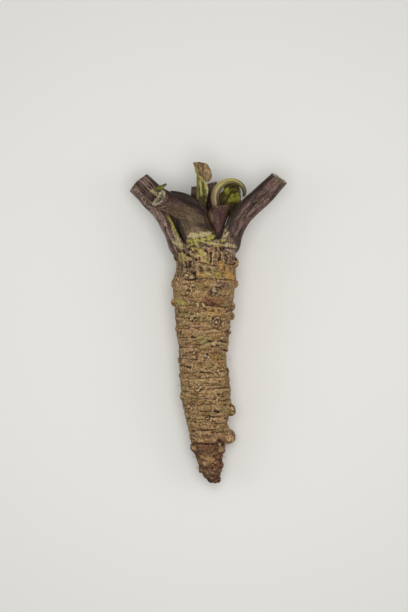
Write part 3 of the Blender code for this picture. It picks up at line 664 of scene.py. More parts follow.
def buildRoot():
    skin = Skin()
    rng = np.random.default_rng(root["seed"])
    side = ease(-1.0, 5.0, skin.along)  # 0 on top of the crown
    skin.rise += root["lumps"] * side * noise(skin.flesh, 12.0, 3, 2)
    lower = ease(*root["olderFrom"], skin.along)  # the older half is more wrinkled
    skin.rise += root["wrinkle"] * (0.45 + 0.55 * lower) * side * noise(skin.flesh, (3.2, 0.9, 3.2), 9, 2)
    creases = ((6.0, 1.9, 6.0), 8, 0.45 + 0.55 * lower), ((3.4, 1.1, 3.4), 12, 0.2 + 0.7 * lower)
    for grain, seed, share in creases:
        crease = share * side * (1 - ease(0.0, 0.10, np.abs(noise(skin.flesh, grain, seed, 2))))
        skin.rise -= root["creaseDepth"] * crease
        # the brown along the creases is painted shade
        skin.tints["brown"] += 0.3 * crease
    workLeafScars(skin, rng)
    workCrown(skin)
    workOldEnd(skin)
    for y, degrees, *size in knobs:
        skin.knob(-y, degrees, *size)
    for _ in range(root["looseKnobs"]):
        long = rng.uniform(1.2, 2.6)
        skin.knob(rng.uniform(8, 126), rng.uniform(-170, -10), long, long * 1.15, long * 0.8, -0.3 * long)
    for x, y, size in rings:
        skin.ring(*skin.fromAbove(x, y), size)
    for x, y, *rest in clusters:
        skin.cluster(rng, *skin.fromAbove(x, y), *rest)
    for _ in range(root["looseClusters"]):
        spot = rng.uniform(7, 130), rng.uniform(-190, 10)
        size = rng.uniform(1, 3.6), rng.uniform(1, 2.6)
        skin.cluster(rng, *spot, *size, int(rng.integers(4, 16)), rng.uniform(0.2, 0.8))
    skin.rise += skin.warts - skin.pits * (skin.warts < 0.05)
    for mark in marks:
        skin.mark(*mark)
    for _ in range(root["looseSlits"]):
        skin.slit(rng.uniform(8, 130), rng.uniform(0, 360), rng.uniform(0.6, 3.2), rng.uniform(0.15, 0.5))

    out = skin.radius + skin.rise * skin.outR[:, None]
    drop = root["fall"] * np.minimum(skin.y, 0)
    x = skin.middle[:, None] + out * np.cos(skin.angle)
    y = -skin.along + skin.rise * skin.outY[:, None]
    grid = np.stack([x, y, drop[:, None] + out * np.sin(skin.angle)], -1)
    finest, coarser = root["fineGrain"]
    fineGrain = finest * noise(grid, 0.9, 21, 2) + coarser * noise(grid, 2.2, 24, 2)
    grid = grid - gridNormals(grid) * fineGrain[..., None]
    floor = root["tableGap"] - crown[2]  # it lies on the table
    low = grid[..., 2] - floor
    grid[..., 2] = floor + np.where(low < 0.5, 0.5 * np.exp(np.minimum(2 * low - 1, 0)), low)
    fine = skin.rise - skin.buds
    relief = fine - soften(fine, 14) + 0.6 * fineGrain
    values = {name: np.clip(amount, 0, 1) for name, amount in skin.tints.items()}
    # crestHighlight pales the places that stand above their neighbours: painted highlight on the root's
    # raised relief
    values["crestHighlight"] = np.clip(relief / 0.4, 0, 1)
    values["aged"] = ease(*root["agedFrom"], skin.along + 2.0 * noise(skin.flesh, 3.0, 89, 2))
    # hollow blackens the places that lie lower than their neighbours: painted shade in the root's hollows
    values["hollow"] = np.clip(-relief / 0.26, 0, 1) * (1 - 0.5 * values["aged"])
    return meshFromGrid("rootBody", grid, values)


# The round side bud near the old end, one ball that grows out of the root's side
ball = {
    "middle": (12.7, -106.3, -9.2),
    "size": (4.7, 4.2, 4.4),  # half its size out from the root, along it and upwards
    "lean": -14,  # degrees that its outer end turns towards the tip
    "rows": 96,
    "columns": 120,
    "scales": (0.30, 0.52, 0.72),  # rings left by its scales, from its outer end at 0
    "marks": [
        ("cream", 11.6, -106.6, 15.4, -108.4, 2.0, 1.1), ("ochre", 12.0, -105.4, 12.8, -107.8, 0.6, 0.9),
        ("grey", 10.0, -103.0, 15.4, -103.6, 1.3, 0.9), ("plum", 8.8, -104.0, 9.4, -109.8, 0.9, 1.2),
        ("brown", 16.8, -104.6, 16.4, -109.0, 0.6, 0.9), ("plum", 10.0, -110.2, 14.0, -110.4, 0.5, 1.0),
        ("pale", 13.6, -107.4, 15.0, -107.6, 0.7, 0.6), ("moss", 14.6, -104.6, 16.0, -105.6, 0.9, 0.5),
    ],
    "seed": 91,
}


def buildBall():
    b = ball
    pole = np.linspace(0.02, math.pi - 0.02, b["rows"])[:, None]
    turn = np.linspace(0, math.tau, b["columns"], endpoint=False)[None, :]
    unit = np.stack([np.cos(pole) + 0 * turn, np.sin(pole) * np.cos(turn), np.sin(pole) * np.sin(turn)], -1)
    lumps = 1 + 0.05 * noise(unit, 0.9, b["seed"], 2)
    share = pole / math.pi + 0.04 * noise(unit, 0.7, b["seed"] + 4, 2)
    rings = sum(hill(share, scale, 0.014) for scale in b["scales"])
    spots = unit * lumps[..., None] * np.array(b["size"])
    grit = noise(spots, 1.1, b["seed"] + 8, 3)
    spots = spots * (1 + (0.045 * grit - 0.04 * rings)[..., None])
    lean = math.radians(b["lean"])
    x = spots[..., 0] * math.cos(lean) - spots[..., 1] * math.sin(lean)
    y = spots[..., 0] * math.sin(lean) + spots[..., 1] * math.cos(lean)
    grid = np.stack([x, y, spots[..., 2]], -1) + np.array(b["middle"])
    values = {name: np.zeros(grid.shape[:2]) for name in rootTints}
    addStrokes(values, grid, b["marks"], b["seed"])
    # the brown and black in the scale rings' grooves are painted shade, and the pale on the raised grit is
    # painted highlight
    values["brown"] += 0.8 * rings
    values["crestHighlight"] = np.clip(grit, 0, 1)
    values["hollow"] = np.clip(0.8 * rings - grit - 0.2, 0, 1)
    return meshFromGrid("sideBud", grid, values)


# Fine roots: (x, y, height) where each starts, then its direction in degrees and its length
hairs = {
    "starts": [
        (-2.4, -122.6, -10.0, 184, 3.4), (-2.2, -123.6, -9.6, 196, 2.6), (-5.0, -117.6, -9.0, 204, 1.8),
        (10.2, -117.2, -10.0, -12, 2.2), (9.4, -124.8, -11.0, -30, 1.8), (-8.6, -103.4, -8.0, 172, 1.6),
        (13.6, -64.0, -6.0, 6, 1.4), (-14.2, -78.0, -5.0, 170, 1.4),
    ],
    "thick": 0.13,
    "rows": 9,
    "sides": 6,
}


def buildHairs():
    h = hairs
    verts, faces = [], []
    for count, (x, y, z, heading, length) in enumerate(h["starts"]):
        for row in range(h["rows"]):
            t = row / (h["rows"] - 1)
            swing = math.radians(heading + 26 * math.sin(2.4 * t + count))
            thick = h["thick"] * (1 - 0.75 * t)
            cos, sin = math.cos(swing), math.sin(swing)
            cx, cy = x + length * t * cos, y + length * t * sin
            for side in range(h["sides"]):
                a = math.tau * side / h["sides"]
                away = thick * math.cos(a)
                verts.append((cx - away * sin, cy + away * cos, z - 0.8 * t + thick * math.sin(a)))
            if row:
                base = len(verts) - 2 * h["sides"]
                for side in range(h["sides"]):
                    k = (side + 1) % h["sides"]
                    faces.append([base + side, base + k, base + h["sides"] + k, base + h["sides"] + side])
        first = len(verts) - h["rows"] * h["sides"]
        faces.append(list(range(first, first + h["sides"]))[::-1])
        faces.append(list(range(len(verts) - h["sides"], len(verts))))
    mesh = bpy.data.meshes.new("fineRoots")
    mesh.from_pydata(toWorld(verts).tolist(), [], faces)
    mesh.shade_smooth()
    return linked("fineRoots", mesh)


rootColours = {
    "tan": tone(172, 139, 93),
    "clay": tone(118, 88, 51),
    "brown": tone(88, 60, 38),
    "umber": tone(126, 90, 60),
    "black": tone(38, 24, 17),
    "shade": tone(140, 118, 100),
    "plum": tone(66, 44, 42),
    "yellow": tone(168, 156, 72),
    "olive": tone(136, 126, 68),
    "moss": tone(142, 130, 78),
    "ochre": tone(184, 140, 66),
    "rust": tone(104, 58, 34),
    "pink": tone(172, 132, 100),
    "grey": tone(116, 102, 76),
    "mauve": tone(102, 80, 78),
    "cream": tone(196, 158, 108),
    "pale": tone(202, 174, 134),
}


def rootMaterial():
    c = rootColours
    g = Graph("rootSkin")
    where = g.place()
    clouds = g.noise(where, 0.13, 4.0)
    mottle = g.noise(where, 0.42, 5.0, 0.6)
    blush = g.noise(g.stretched(where, 1.0, 1.6, 1.0), 0.2, 4.0, 0.6)
    bands = g.noise(g.stretched(where, 0.25, 1.0, 0.25), 0.85, 5.0, 0.68)
    grain = g.noise(where, 1.9, 5.0, 0.7)
    specks = g.noise(g.stretched(where, 1.0, 1.5, 1.0), 1.0, 4.0, 0.62, 0.6)
    colour = g.mix((clouds + mottle - 0.5).ramp(0.36, 0.62), c["clay"], c["tan"])
    colour = g.mix((blush * 0.7 + grain * 0.3).ramp(0.51, 0.62) * 0.85, colour, c["pink"])
    colour = g.mix((blush * 0.7 + mottle * 0.3).ramp(0.47, 0.38) * 0.85, colour, c["moss"])
    colour = g.mix(mottle.ramp(0.56, 0.68) * 0.25, colour, c["ochre"])
    colour = g.mix((mottle * 0.5 + grain * 0.5).ramp(0.47, 0.4) * 0.6, colour, c["rust"])
    aged = g.mask("aged")
    colour = g.mix(aged * 0.85, colour, g.mix(mottle.ramp(0.44, 0.58), c["brown"], c["umber"]))
    stipple = mottle * 2.0 + grain * 2.4 - 2.6
    for name in ("moss", "pink", "olive", "ochre", "yellow", "grey", "mauve", "cream"):
        colour = g.mix((g.mask(name) * 1.4 + stipple).kept() * 0.9, colour, c[name])
    colour = g.mix((g.mask("brown") * 1.2 + stipple * 0.8).kept() * 0.8, colour, c["brown"])
    colour = g.mix((g.mask("plum") * 1.3 + stipple * 0.8).kept() * 0.9, colour, c["plum"])
    colour = g.mix(bands.ramp(0.51, 0.36) * 0.7, colour, c["shade"], "MULTIPLY")
    colour = g.mix(specks.ramp(0.47, 0.34) * 0.95, colour, c["shade"], "MULTIPLY")
    colour = g.mix((g.mask("pale") * (0.5 + grain)).kept() * 0.72, colour, c["pale"])
    # painted highlight: pale on the raised relief
    colour = g.mix((g.mask("crestHighlight") * (0.2 + grain)).kept() * (0.6 - aged * 0.35), colour, c["pale"])
    colour = g.mix(specks.ramp(0.55, 0.64) * (0.8 - aged * 0.5), colour, c["pale"])
    colour = g.mix((g.mask("rust") * (1.25 + stipple * 1.5)).kept() * 0.85, colour, c["rust"])
    # painted shade: black in the hollows of the relief
    colour = g.mix(g.mask("hollow") * 0.95, colour, c["black"])
    colour = g.mix((grain * 0.6 + specks * 0.4).ramp(0.46, 0.36) * 0.9, colour, c["black"])
    height = bands * 0.6 + grain * 0.6 + specks * 0.4
    g.set(Base_Color=colour, Roughness=(0.6 + grain * 0.25).kept(), Normal=g.bump(height, 0.6, 0.0006))
    g.set(Specular_IOR_Level=0.15)
    return g.material


# leaf stalks

# A station is the left side as (x, y, z), the right side as (x, y, z), the thickness, and how
# far the middle stands above the line between the sides. They run from the foot to the cut end.
# channels: (across, half width, depth) of lengthwise hollows on the upper side, with across
# from -1 on the left to 1 on the right. paint: (tint, across, half width, from y, to y, strength).
# strokes: (tint, from x, y, to x, y, half width, strength) as seen from above.
stalks = {
    "frontStalk": {
        "node": "stalk_front",
        "stations": [
            (-10.3, -7.0, 6.2, 8.8, -6.6, 7.8, 3.0, 2.4),
            (-10.8, -3.6, 8.2, 9.2, -3.0, 10.0, 4.2, 3.2),
            (-10.8, -0.2, 9.9, 8.6, 2.0, 11.7, 5.2, 3.6),
            (-12.0, 3.0, 9.8, 6.6, 5.6, 11.8, 5.0, 3.0),
            (-13.5, 7.6, 10.0, 3.4, 9.9, 12.2, 4.8, 2.2),
            (-14.4, 12.0, 10.0, 1.3, 15.2, 12.8, 4.8, 1.8),
            (-17.0, 14.8, 9.6, -2.6, 19.6, 12.6, 5.0, 1.6),
            (-21.2, 17.0, 9.4, -9.2, 23.2, 12.2, 5.6, 1.4),
            (-25.2, 18.7, 9.4, -16.2, 26.8, 11.6, 6.4, 1.2),
            (-28.6, 20.2, 9.4, -21.8, 29.6, 11.0, 6.8, 0.7),
        ],
        "channels": [(0.86, 0.07, 0.5)], "under": 0.5, "rib": 0.07, "cut": (0.0, -0.95), "chamber": 1.3,
        "streaks": 0.3, "ragged": 0.9,
        # the deep stripe down its right edge is painted shade in the gap to the sheath, and the one down
        # its left edge is painted shade on its sloping left side
        "paint": [
            ("wine", 0.1, 0.9, 12.0, 40.0, 0.75), ("tan", -0.3, 0.7, 6.0, 17.0, 0.6),
            ("deep", 0.95, 0.12, 6.0, 40.0, 0.9), ("cream", -0.1, 0.8, 1.0, 4.5, 0.25),
            ("deep", -0.99, 0.1, 1.0, 13.0, 0.9),
        ],
        # Of these, the deep strokes down its left side, along its upper rim, down its right edge and in the
        # pit at about (8, 4), and the wine stroke low on its left, are painted shade; the tan and cream
        # strokes over its lower middle are partly its pale colour and partly a painted highlight on its
        # bulge
        "strokes": [
            ("tan", -8.0, 5.2, 3.0, 6.2, 1.6, 1.0), ("tan", -7.0, 7.6, 2.0, 8.4, 2.6, 0.5),
            ("cream", -7.0, 4.8, -2.0, 5.0, 1.4, 0.35), ("cream", -1.6, 5.4, 3.0, 6.0, 1.2, 0.35),
            ("cream", -8.2, 3.6, -5.6, 4.2, 1.3, 0.8), ("cream", -5.2, 3.2, -1.4, 4.4, 1.4, 0.9),
            ("cream", -1.2, 4.6, 2.8, 4.8, 1.1, 0.8), ("green", -8.8, 1.2, -4.6, 1.8, 1.1, 0.9),
            ("green", -4.4, 1.2, -1.0, 1.0, 0.9, 0.9), ("green", -1.0, 2.0, 4.0, 2.6, 1.2, 1.0),
            ("green", 3.0, 3.4, 7.2, 4.8, 1.2, 1.0), ("green", -8.2, -0.8, -3.6, -0.8, 1.3, 0.9),
            ("green", -0.8, 0.2, 3.6, 0.4, 0.8, 0.8), ("cream", 2.6, 5.4, 6.4, 6.6, 0.7, 0.7),
            ("cream", 4.6, 1.4, 7.6, 1.6, 0.9, 0.8), ("olive", -7.2, 5.4, -6.4, 3.4, 0.5, 0.8),
            ("olive", -3.6, 5.6, -3.0, 4.0, 0.4, 0.8), ("olive", 0.6, 5.2, 1.2, 3.4, 0.4, 0.8),
            ("deep", -6.8, 1.4, -5.9, 1.8, 0.35, 1.1), ("deep", -2.4, -0.2, -1.2, 0.3, 0.6, 1.3),
            ("deep", 0.4, 1.0, 1.0, 1.4, 0.4, 1.2), ("deep", -6.6, -1.8, -5.6, -1.2, 0.5, 1.2),
            ("deep", 1.6, -1.6, 2.6, -2.2, 0.5, 1.2), ("deep", 4.4, 1.6, 5.6, 2.0, 0.7, 1.5),
            ("deep", 6.2, 4.6, 7.8, 5.0, 0.9, 1.6), ("deep", -8.8, -0.4, -7.9, 0.2, 0.4, 1.0),
            ("deep", -4.2, 2.6, -3.4, 2.8, 0.25, 0.9), ("deep", 2.6, 3.6, 3.6, 3.8, 0.25, 0.9),
            ("tan", -8.0, 7.4, 3.4, 8.0, 1.8, 0.9), ("mauve", -7.0, 15.4, -3.4, 12.6, 1.1, 0.35),
            ("tan", 0.4, 14.0, 4.4, 7.4, 1.5, 0.7), ("cream", 1.5, 13.4, 5.0, 7.0, 0.35, 0.45),
            ("olive", -9.0, 17.0, -3.0, 12.6, 3.4, 0.7), ("tan", -8.0, 14.0, -5.0, 9.0, 1.6, 0.4),
            ("olive", -12.0, 8.0, -3.0, 11.6, 2.6, 0.75), ("deep", -3.2, 9.8, 1.8, 8.6, 1.9, 0.95),
            ("deep", -11.0, 12.4, -7.0, 9.4, 1.3, 0.5), ("deep", -1.6, 6.8, 0.6, 6.2, 0.7, 0.6),
            ("deep", -9.8, 7.4, -7.6, 8.4, 0.8, 0.5), ("deep", -14.0, 12.4, -11.0, 2.8, 1.2, 1.1),
            ("wine", -11.2, 7.0, -9.2, 1.4, 1.5, 1.0), ("olive", -18.4, 17.4, -12.0, 14.4, 1.9, 0.8),
            ("wine", -23.0, 21.6, -9.0, 21.8, 2.6, 0.9), ("deep", -20.0, 23.8, -6.0, 21.4, 1.8, 0.7),
            ("olive", -20.0, 20.0, -7.0, 17.6, 2.6, 0.6), ("deep", -26.2, 21.4, -20.8, 26.4, 0.8, 1.1),
            ("deep", -20.8, 26.6, -10.4, 25.4, 1.4, 1.2), ("deep", -10.4, 25.2, -3.8, 20.8, 0.9, 1.1),
            ("deep", -3.8, 20.8, 0.4, 17.4, 1.0, 1.1), ("deep", 1.4, 15.4, 5.0, 7.8, 0.5, 0.9),
            ("deep", -12.6, 19.4, -12.0, 18.2, 0.7, 0.7), ("deep", -8.6, 20.6, -6.8, 19.4, 0.6, 0.6),
            ("tan", -19.0, 22.6, -14.0, 23.0, 1.1, 0.4), ("deep", 2.6, 0.6, 3.8, 1.8, 0.35, 1.0),
            ("deep", -5.4, -1.6, -4.0, -2.6, 0.5, 0.9), ("cream", -26.6, 20.0, -21.0, 20.0, 0.5, 0.5),
            ("deep", 7.2, 2.6, 8.8, 5.0, 1.1, 1.6), ("cream", 2.6, -0.4, 8.8, -0.4, 1.0, 0.9),
            ("tan", -10.0, -3.4, 8.6, -2.8, 1.5, 1.1), ("green", -9.0, -2.4, -3.6, -3.4, 1.0, 0.8),
            ("deep", -8.4, 2.4, -6.8, 2.8, 0.4, 0.9), ("deep", -3.4, 0.8, -2.0, 1.6, 0.45, 1.1),
            ("deep", -0.8, 3.0, 0.6, 3.4, 0.35, 1.0), ("deep", 5.6, 2.8, 6.8, 3.2, 0.5, 1.2),
            ("deep", -9.2, -1.8, -7.6, -2.2, 0.5, 1.1), ("deep", -2.6, -2.4, -0.8, -1.4, 0.45, 1.1),
            ("cream", -3.0, -1.8, 1.6, -2.6, 0.6, 0.8), ("tan", -1.6, -3.2, 3.4, -3.4, 0.8, 0.9),
            ("deep", 4.2, -1.2, 5.6, -4.0, 0.5, 1.2), ("deep", -6.2, -3.4, -4.8, -4.2, 0.5, 1.2),
        ],
        "seed": 3,
    },
    "frontInnerWall": {
        "node": "stalk_front",
        "stations": [
            (-3.0, 8.0, 7.0, 3.6, 10.0, 7.4, 1.6, 0.0),
            (-5.0, 15.0, 8.0, 1.8, 17.4, 8.6, 1.6, 0.2),
            (-9.0, 19.6, 8.2, -2.2, 22.6, 9.0, 1.5, 0.3),
            (-14.0, 22.6, 8.0, -7.4, 26.2, 8.8, 1.4, 0.4),
            (-18.0, 24.6, 7.6, -13.0, 28.3, 8.2, 1.4, 0.4),
            (-21.0, 25.6, 7.2, -18.0, 29.0, 7.6, 1.3, 0.3),
        ],
        "channels": [], "under": 0.2, "rib": 0.05, "cut": (0.0, 0.0), "chamber": 0.1, "streaks": 0.3,
        # the deep paint over the whole inner wall is painted shade
        "paint": [("deep", 0.0, 1.2, 6.0, 34.0, 0.9), ("olive", 0.85, 0.2, 10.0, 34.0, 1.0)],
        "strokes": [("tan", -18.0, 28.0, -9.0, 26.4, 0.5, 0.6)],
        "seed": 4,
    },
    "outerLeftStalk": {
        "node": "stalk_outer_left",
        "stations": [
            (-12.0, -9.0, -2.5, -8.5, -9.0, 7.0, 3.0, 1.6),
            (-15.2, -5.2, -2.5, -9.8, -5.2, 8.6, 4.6, 1.6),
            (-17.9, -1.4, -2.2, -11.4, -1.4, 9.6, 6.2, 1.5),
            (-19.4, 5.0, -1.6, -14.4, 4.0, 8.4, 6.4, 1.0),
            (-22.2, 9.6, -1.2, -17.5, 10.2, 6.6, 6.2, 0.8),
            (-27.2, 15.8, -0.8, -21.0, 17.2, 4.0, 6.4, 0.6),
            (-32.4, 20.0, -1.4, -25.8, 23.2, 1.8, 6.8, 0.5),
            (-36.8, 24.8, -2.2, -30.8, 28.8, -0.2, 7.0, 0.4),
            (-41.0, 29.2, -2.8, -36.9, 34.7, -1.4, 7.0, 0.3),
        ],
        "channels": [(0.72, 0.05, 0.35), (0.1, 0.08, 0.3)], "under": 0.0, "rib": 0.2, "cut": (0.0, -0.15),
        "chamber": 0.6, "streaks": 0.8,
        # the deep stripes down its left edge and beside its channel are painted shade
        "paint": [
            ("tan", 0.0, 0.7, 12.0, 40.0, 0.35), ("deep", 0.8, 0.05, 16.0, 40.0, 0.6),
            ("deep", -0.97, 0.1, -6.0, 40.0, 0.6),
        ],
        "strokes": [
            ("green", -20.2, 16.6, -16.8, 9.6, 1.0, 1.2), ("green", -16.8, 9.4, -14.4, 4.0, 0.8, 1.0),
            ("cream", -18.0, 9.4, -14.8, 2.6, 0.7, 0.9), ("cream", -14.8, 3.4, -12.2, -0.6, 0.9, 1.1),
            ("cream", -16.8, 1.0, -13.2, -1.8, 1.6, 0.85), ("green", -13.8, -1.2, -11.6, -2.2, 0.8, 0.7),
            ("wine", -23.4, 13.2, -20.6, 9.2, 1.7, 0.8), ("tan", -20.0, 7.0, -17.6, 2.0, 1.5, 0.5),
            ("deep", -18.8, 1.6, -16.4, -5.0, 0.9, 0.9), ("deep", -18.6, 5.4, -17.4, 3.2, 0.6, 0.6),
            ("tan", -29.0, 19.6, -25.6, 16.4, 1.3, 0.6), ("deep", -25.6, 20.0, -22.0, 17.2, 0.5, 0.6),
            ("mauve", -33.0, 22.6, -21.6, 11.0, 1.3, 0.55), ("mauve", -21.4, 10.6, -17.6, 1.0, 1.2, 0.5),
            ("mauve", -39.4, 31.0, -34.0, 25.4, 1.2, 0.5), ("deep", -39.6, 30.4, -38.0, 33.0, 0.5, 0.9),
            ("deep", -38.4, 29.2, -35.0, 26.0, 0.5, 0.7), ("cream", -28.6, 22.8, -27.2, 20.4, 0.8, 0.7),
            # the next two strokes: a thin cream painted highlight along the ridge of its channel, and
            # painted shade in the groove beside it
            ("cream", -36.6, 33.6, -25.0, 22.4, 0.35, 0.9), ("deep", -38.0, 33.2, -27.6, 22.0, 0.4, 0.8),
            ("tan", -17.0, -3.0, -11.0, -3.8, 1.6, 1.1), ("olive", -16.4, -5.6, -10.6, -6.6, 1.9, 1.1),
            ("deep", -14.8, -2.8, -13.2, -4.6, 0.7, 1.3), ("mauve", -11.4, -2.6, -9.6, -4.2, 0.9, 0.8),
        ],
        "seed": 5,
    },
    "innerLeftStalk": {
        "node": "stalk_inner_left",
        "stations": [
            (-13.0, -6.0, -8.0, -4.0, -6.0, -8.0, 6.0, 0.5),
            (-15.5, 1.0, -5.0, -6.0, 2.0, -4.0, 7.0, 0.5),
            (-18.4, 9.0, -2.6, -9.5, 9.5, -1.5, 7.2, 0.6),
            (-20.8, 16.6, -0.8, -14.5, 19.0, 0.6, 7.2, 0.6),
            (-25.6, 21.6, -0.4, -19.4, 26.6, 0.8, 7.0, 0.5),
            (-30.9, 26.4, -1.0, -25.0, 32.4, 0.2, 7.0, 0.4),
            (-37.6, 33.8, -1.8, -31.6, 38.5, -0.8, 7.0, 0.3),
        ],
        "channels": [(-0.6, 0.1, 0.35), (0.2, 0.06, 0.25)], "under": 0.25, "rib": 0.2, "cut": (0.0, -0.1),
        "chamber": 0.6, "streaks": 0.9,
        "paint": [
            # the deep paint over its lower part is painted shade where it lies under the stalks above it
            ("deep", 0.0, 1.2, -9.0, 15.0, 1.0), ("deep", -0.6, 0.08, 17.0, 40.0, 0.7),
            ("deep", 0.95, 0.1, 17.0, 40.0, 0.6), ("tan", 0.2, 0.4, 20.0, 40.0, 0.3),
        ],
        "strokes": [
            ("cream", -28.6, 29.0, -25.0, 26.6, 1.3, 0.75), ("olive", -28.0, 30.4, -22.0, 28.6, 1.0, 0.8),
            ("deep", -31.0, 38.0, -21.4, 29.4, 0.6, 0.8), ("deep", -35.6, 35.0, -32.4, 37.4, 0.4, 0.7),
        ],
        "seed": 8,
    },
    "rightStalk": {
        "node": "stalk_right",
        "stations": [
            (5.0, -9.0, 8.0, 11.5, -9.0, -2.0, 2.6, 1.6),
            (6.8, -4.9, 9.4, 15.2, -5.6, -2.0, 4.0, 1.8),
            (8.2, 0.8, 11.6, 18.2, -2.0, -0.4, 6.4, 2.0),
            (9.2, 5.6, 11.4, 19.7, 3.0, 1.6, 7.0, 1.6),
            (11.8, 9.8, 10.6, 21.8, 8.0, 3.0, 7.2, 1.2),
            (14.4, 16.2, 9.4, 25.3, 12.8, 4.0, 7.4, 0.8),
            (20.6, 23.6, 7.6, 30.0, 17.2, 4.2, 7.6, 0.5),
            (28.6, 30.9, 5.8, 37.0, 23.6, 3.6, 7.8, 0.3),
            (36.8, 38.4, 3.8, 45.2, 33.2, 2.6, 7.8, 0.3),
        ],
        "channels": [(0.16, 0.42, 0.8), (-0.62, 0.05, 0.4)], "under": 0.0, "rib": 0.13,
        "cut": (-0.04, -0.4), "chamber": 0.8, "streaks": 0.6,
        # the deep stripes near its left edge and down its right edge are painted shade, and the thin mauve
        # lines are painted highlights along its ridges
        "paint": [
            ("deep", -0.82, 0.14, 9.0, 50.0, 0.8), ("mauve", -0.54, 0.02, 14.0, 50.0, 0.5),
            ("deep", 0.97, 0.1, -6.0, 50.0, 0.7), ("mauve", 0.84, 0.02, 14.0, 50.0, 0.4),
            ("wine", 0.2, 0.5, 14.0, 50.0, 0.35),
        ],
        "strokes": [
            ("cream", 9.4, 4.0, 12.6, 9.2, 0.6, 0.9), ("cream", 12.6, 9.2, 14.4, 14.6, 0.35, 0.5),
            ("green", 8.6, 1.2, 10.8, 1.8, 1.0, 0.9), ("cream", 10.2, 3.0, 12.8, 5.6, 0.9, 0.8),
            ("cream", 12.4, -0.6, 16.6, -1.8, 1.4, 0.9), ("tan", 12.0, 3.6, 14.6, 1.6, 1.5, 0.8),
            ("cream", 9.4, -0.6, 11.6, -1.6, 0.8, 0.7), ("deep", 14.4, 6.4, 17.2, 2.0, 1.3, 0.6),
            ("deep", 19.6, 6.0, 18.2, -3.8, 1.3, 0.9), ("wine", 17.4, 12.0, 18.2, 6.6, 1.5, 0.7),
            ("tan", 13.4, 10.4, 15.6, 13.6, 0.9, 0.5), ("deep", 24.0, 18.2, 26.0, 19.8, 0.7, 0.6),
            ("deep", 29.4, 24.6, 32.6, 26.6, 0.8, 0.6), ("tan", 35.0, 31.6, 41.6, 33.6, 0.9, 0.55),
            ("mauve", 10.6, -4.0, 16.0, -4.8, 1.7, 0.9), ("tan", 9.0, -5.6, 14.0, -7.0, 1.6, 0.8),
            ("deep", 11.2, -2.6, 16.6, -3.0, 0.4, 1.1), ("deep", 11.6, -5.2, 14.8, -5.6, 0.35, 0.9),
            ("cream", 12.5, -3.5, 12.9, -3.7, 0.35, 1.3), ("cream", 14.6, -4.5, 14.9, -4.7, 0.35, 1.3),
            ("cream", 16.2, -3.7, 16.5, -3.8, 0.3, 1.3), ("cream", 13.4, -5.5, 13.7, -5.6, 0.3, 1.3),
            # the deep strokes at about (8, 4) and (10, 6.6) are painted shade in the pit by the sheath and
            # the front stalk, and the long one from (15, 15) to (34, 35) is painted shade along its upper
            # left side
            ("deep", 7.0, 2.8, 9.0, 5.2, 1.4, 1.6), ("deep", 9.8, 5.8, 10.6, 7.4, 0.5, 0.9),
            ("deep", 15.0, 15.2, 34.0, 35.0, 0.9, 0.7), ("deep", 27.0, 24.0, 28.0, 25.2, 0.5, 0.8),
            ("deep", 37.0, 27.6, 43.0, 32.4, 0.5, 0.6), ("mauve", 22.0, 14.6, 36.6, 25.6, 0.5, 0.5),
        ],
        "seed": 13,
    },
    "innerRightSheath": {
        "node": "stalk_inner_right",
        "stations": [
            (4.6, -2.0, 8.0, 9.5, -2.0, 6.5, 3.0, 0.6),
            (5.0, 3.6, 9.6, 10.6, 3.6, 8.2, 3.2, 0.8),
            (3.6, 9.0, 10.0, 11.0, 8.8, 8.6, 3.2, 1.2),
            (1.8, 14.4, 10.0, 12.2, 13.4, 8.8, 3.0, 1.4),
            (2.2, 17.6, 10.0, 12.9, 17.8, 9.0, 2.6, 1.2),
            (4.0, 19.8, 10.0, 14.4, 21.2, 8.8, 2.0, 0.9),
        ],
        "channels": [], "under": 0.3, "rib": 0.07, "cut": (0.0, 0.0), "chamber": 0.2, "streaks": 0.15,
        # the deep stripe down its left edge is painted shade against the front stalk
        "paint": [("wine", 0.0, 1.2, -2.0, 30.0, 1.0), ("deep", -0.9, 0.2, 0.0, 30.0, 0.5)],
        # the deep strokes are painted shade in the pit at its foot, in the wedge between it and the right
        # stalk, and in the gap to the front stalk
        "strokes": [
            ("deep", 6.8, 3.2, 9.2, 6.0, 1.5, 1.6), ("deep", 8.4, 5.4, 11.4, 9.6, 0.9, 0.8),
            ("deep", 11.6, 9.6, 13.6, 15.6, 1.9, 1.4), ("deep", 13.2, 15.0, 13.8, 19.8, 0.9, 1.2),
            ("tan", 2.0, 18.0, 4.0, 12.6, 1.5, 1.2), ("deep", 4.6, 18.6, 5.2, 12.0, 0.3, 0.7),
            ("tan", 4.4, 19.6, 12.6, 20.8, 0.5, 0.8), ("deep", 6.4, 17.4, 9.0, 14.0, 1.4, 0.6),
        ],
        "seed": 21,
    },
    "backLeftStalk": {
        "node": "stalk_back_left",
        "stations": [
            (-8.5, -3.0, -9.5, 2.0, -3.0, -9.0, 6.0, 0.5),
            (-8.8, 6.0, -5.5, 2.6, 6.0, -5.0, 6.4, 0.5),
            (-8.6, 15.0, -2.0, 2.4, 15.0, -1.4, 6.2, 0.6),
            (-7.8, 22.0, 1.0, 0.6, 22.0, 1.6, 5.6, 0.6),
            (-7.2, 31.2, 3.4, -2.2, 31.5, 3.8, 5.0, 0.5),
        ],
        "channels": [], "under": 0.3, "rib": 0.12, "cut": (0.0, 0.05), "chamber": 0.6, "streaks": 0.7,
        # the deep paint over most of its length is painted shade where it lies low under the other stalks
        "paint": [("deep", 0.0, 1.2, -3.0, 26.0, 1.0), ("olive", 0.1, 0.35, 24.0, 29.5, 0.8)],
        "strokes": [("deep", -7.4, 30.8, -3.0, 31.0, 0.5, 0.8)],
        "seed": 27,
    },
    "backRightStalk": {
        "node": "stalk_back_right",
        "stations": [
            (2.0, -3.0, -9.5, 11.4, -3.0, -8.5, 6.0, 0.5),
            (1.6, 7.0, -5.6, 10.6, 7.0, -5.2, 6.0, 0.5),
            (0.6, 17.0, -1.6, 9.0, 17.0, -1.2, 5.6, 0.6),
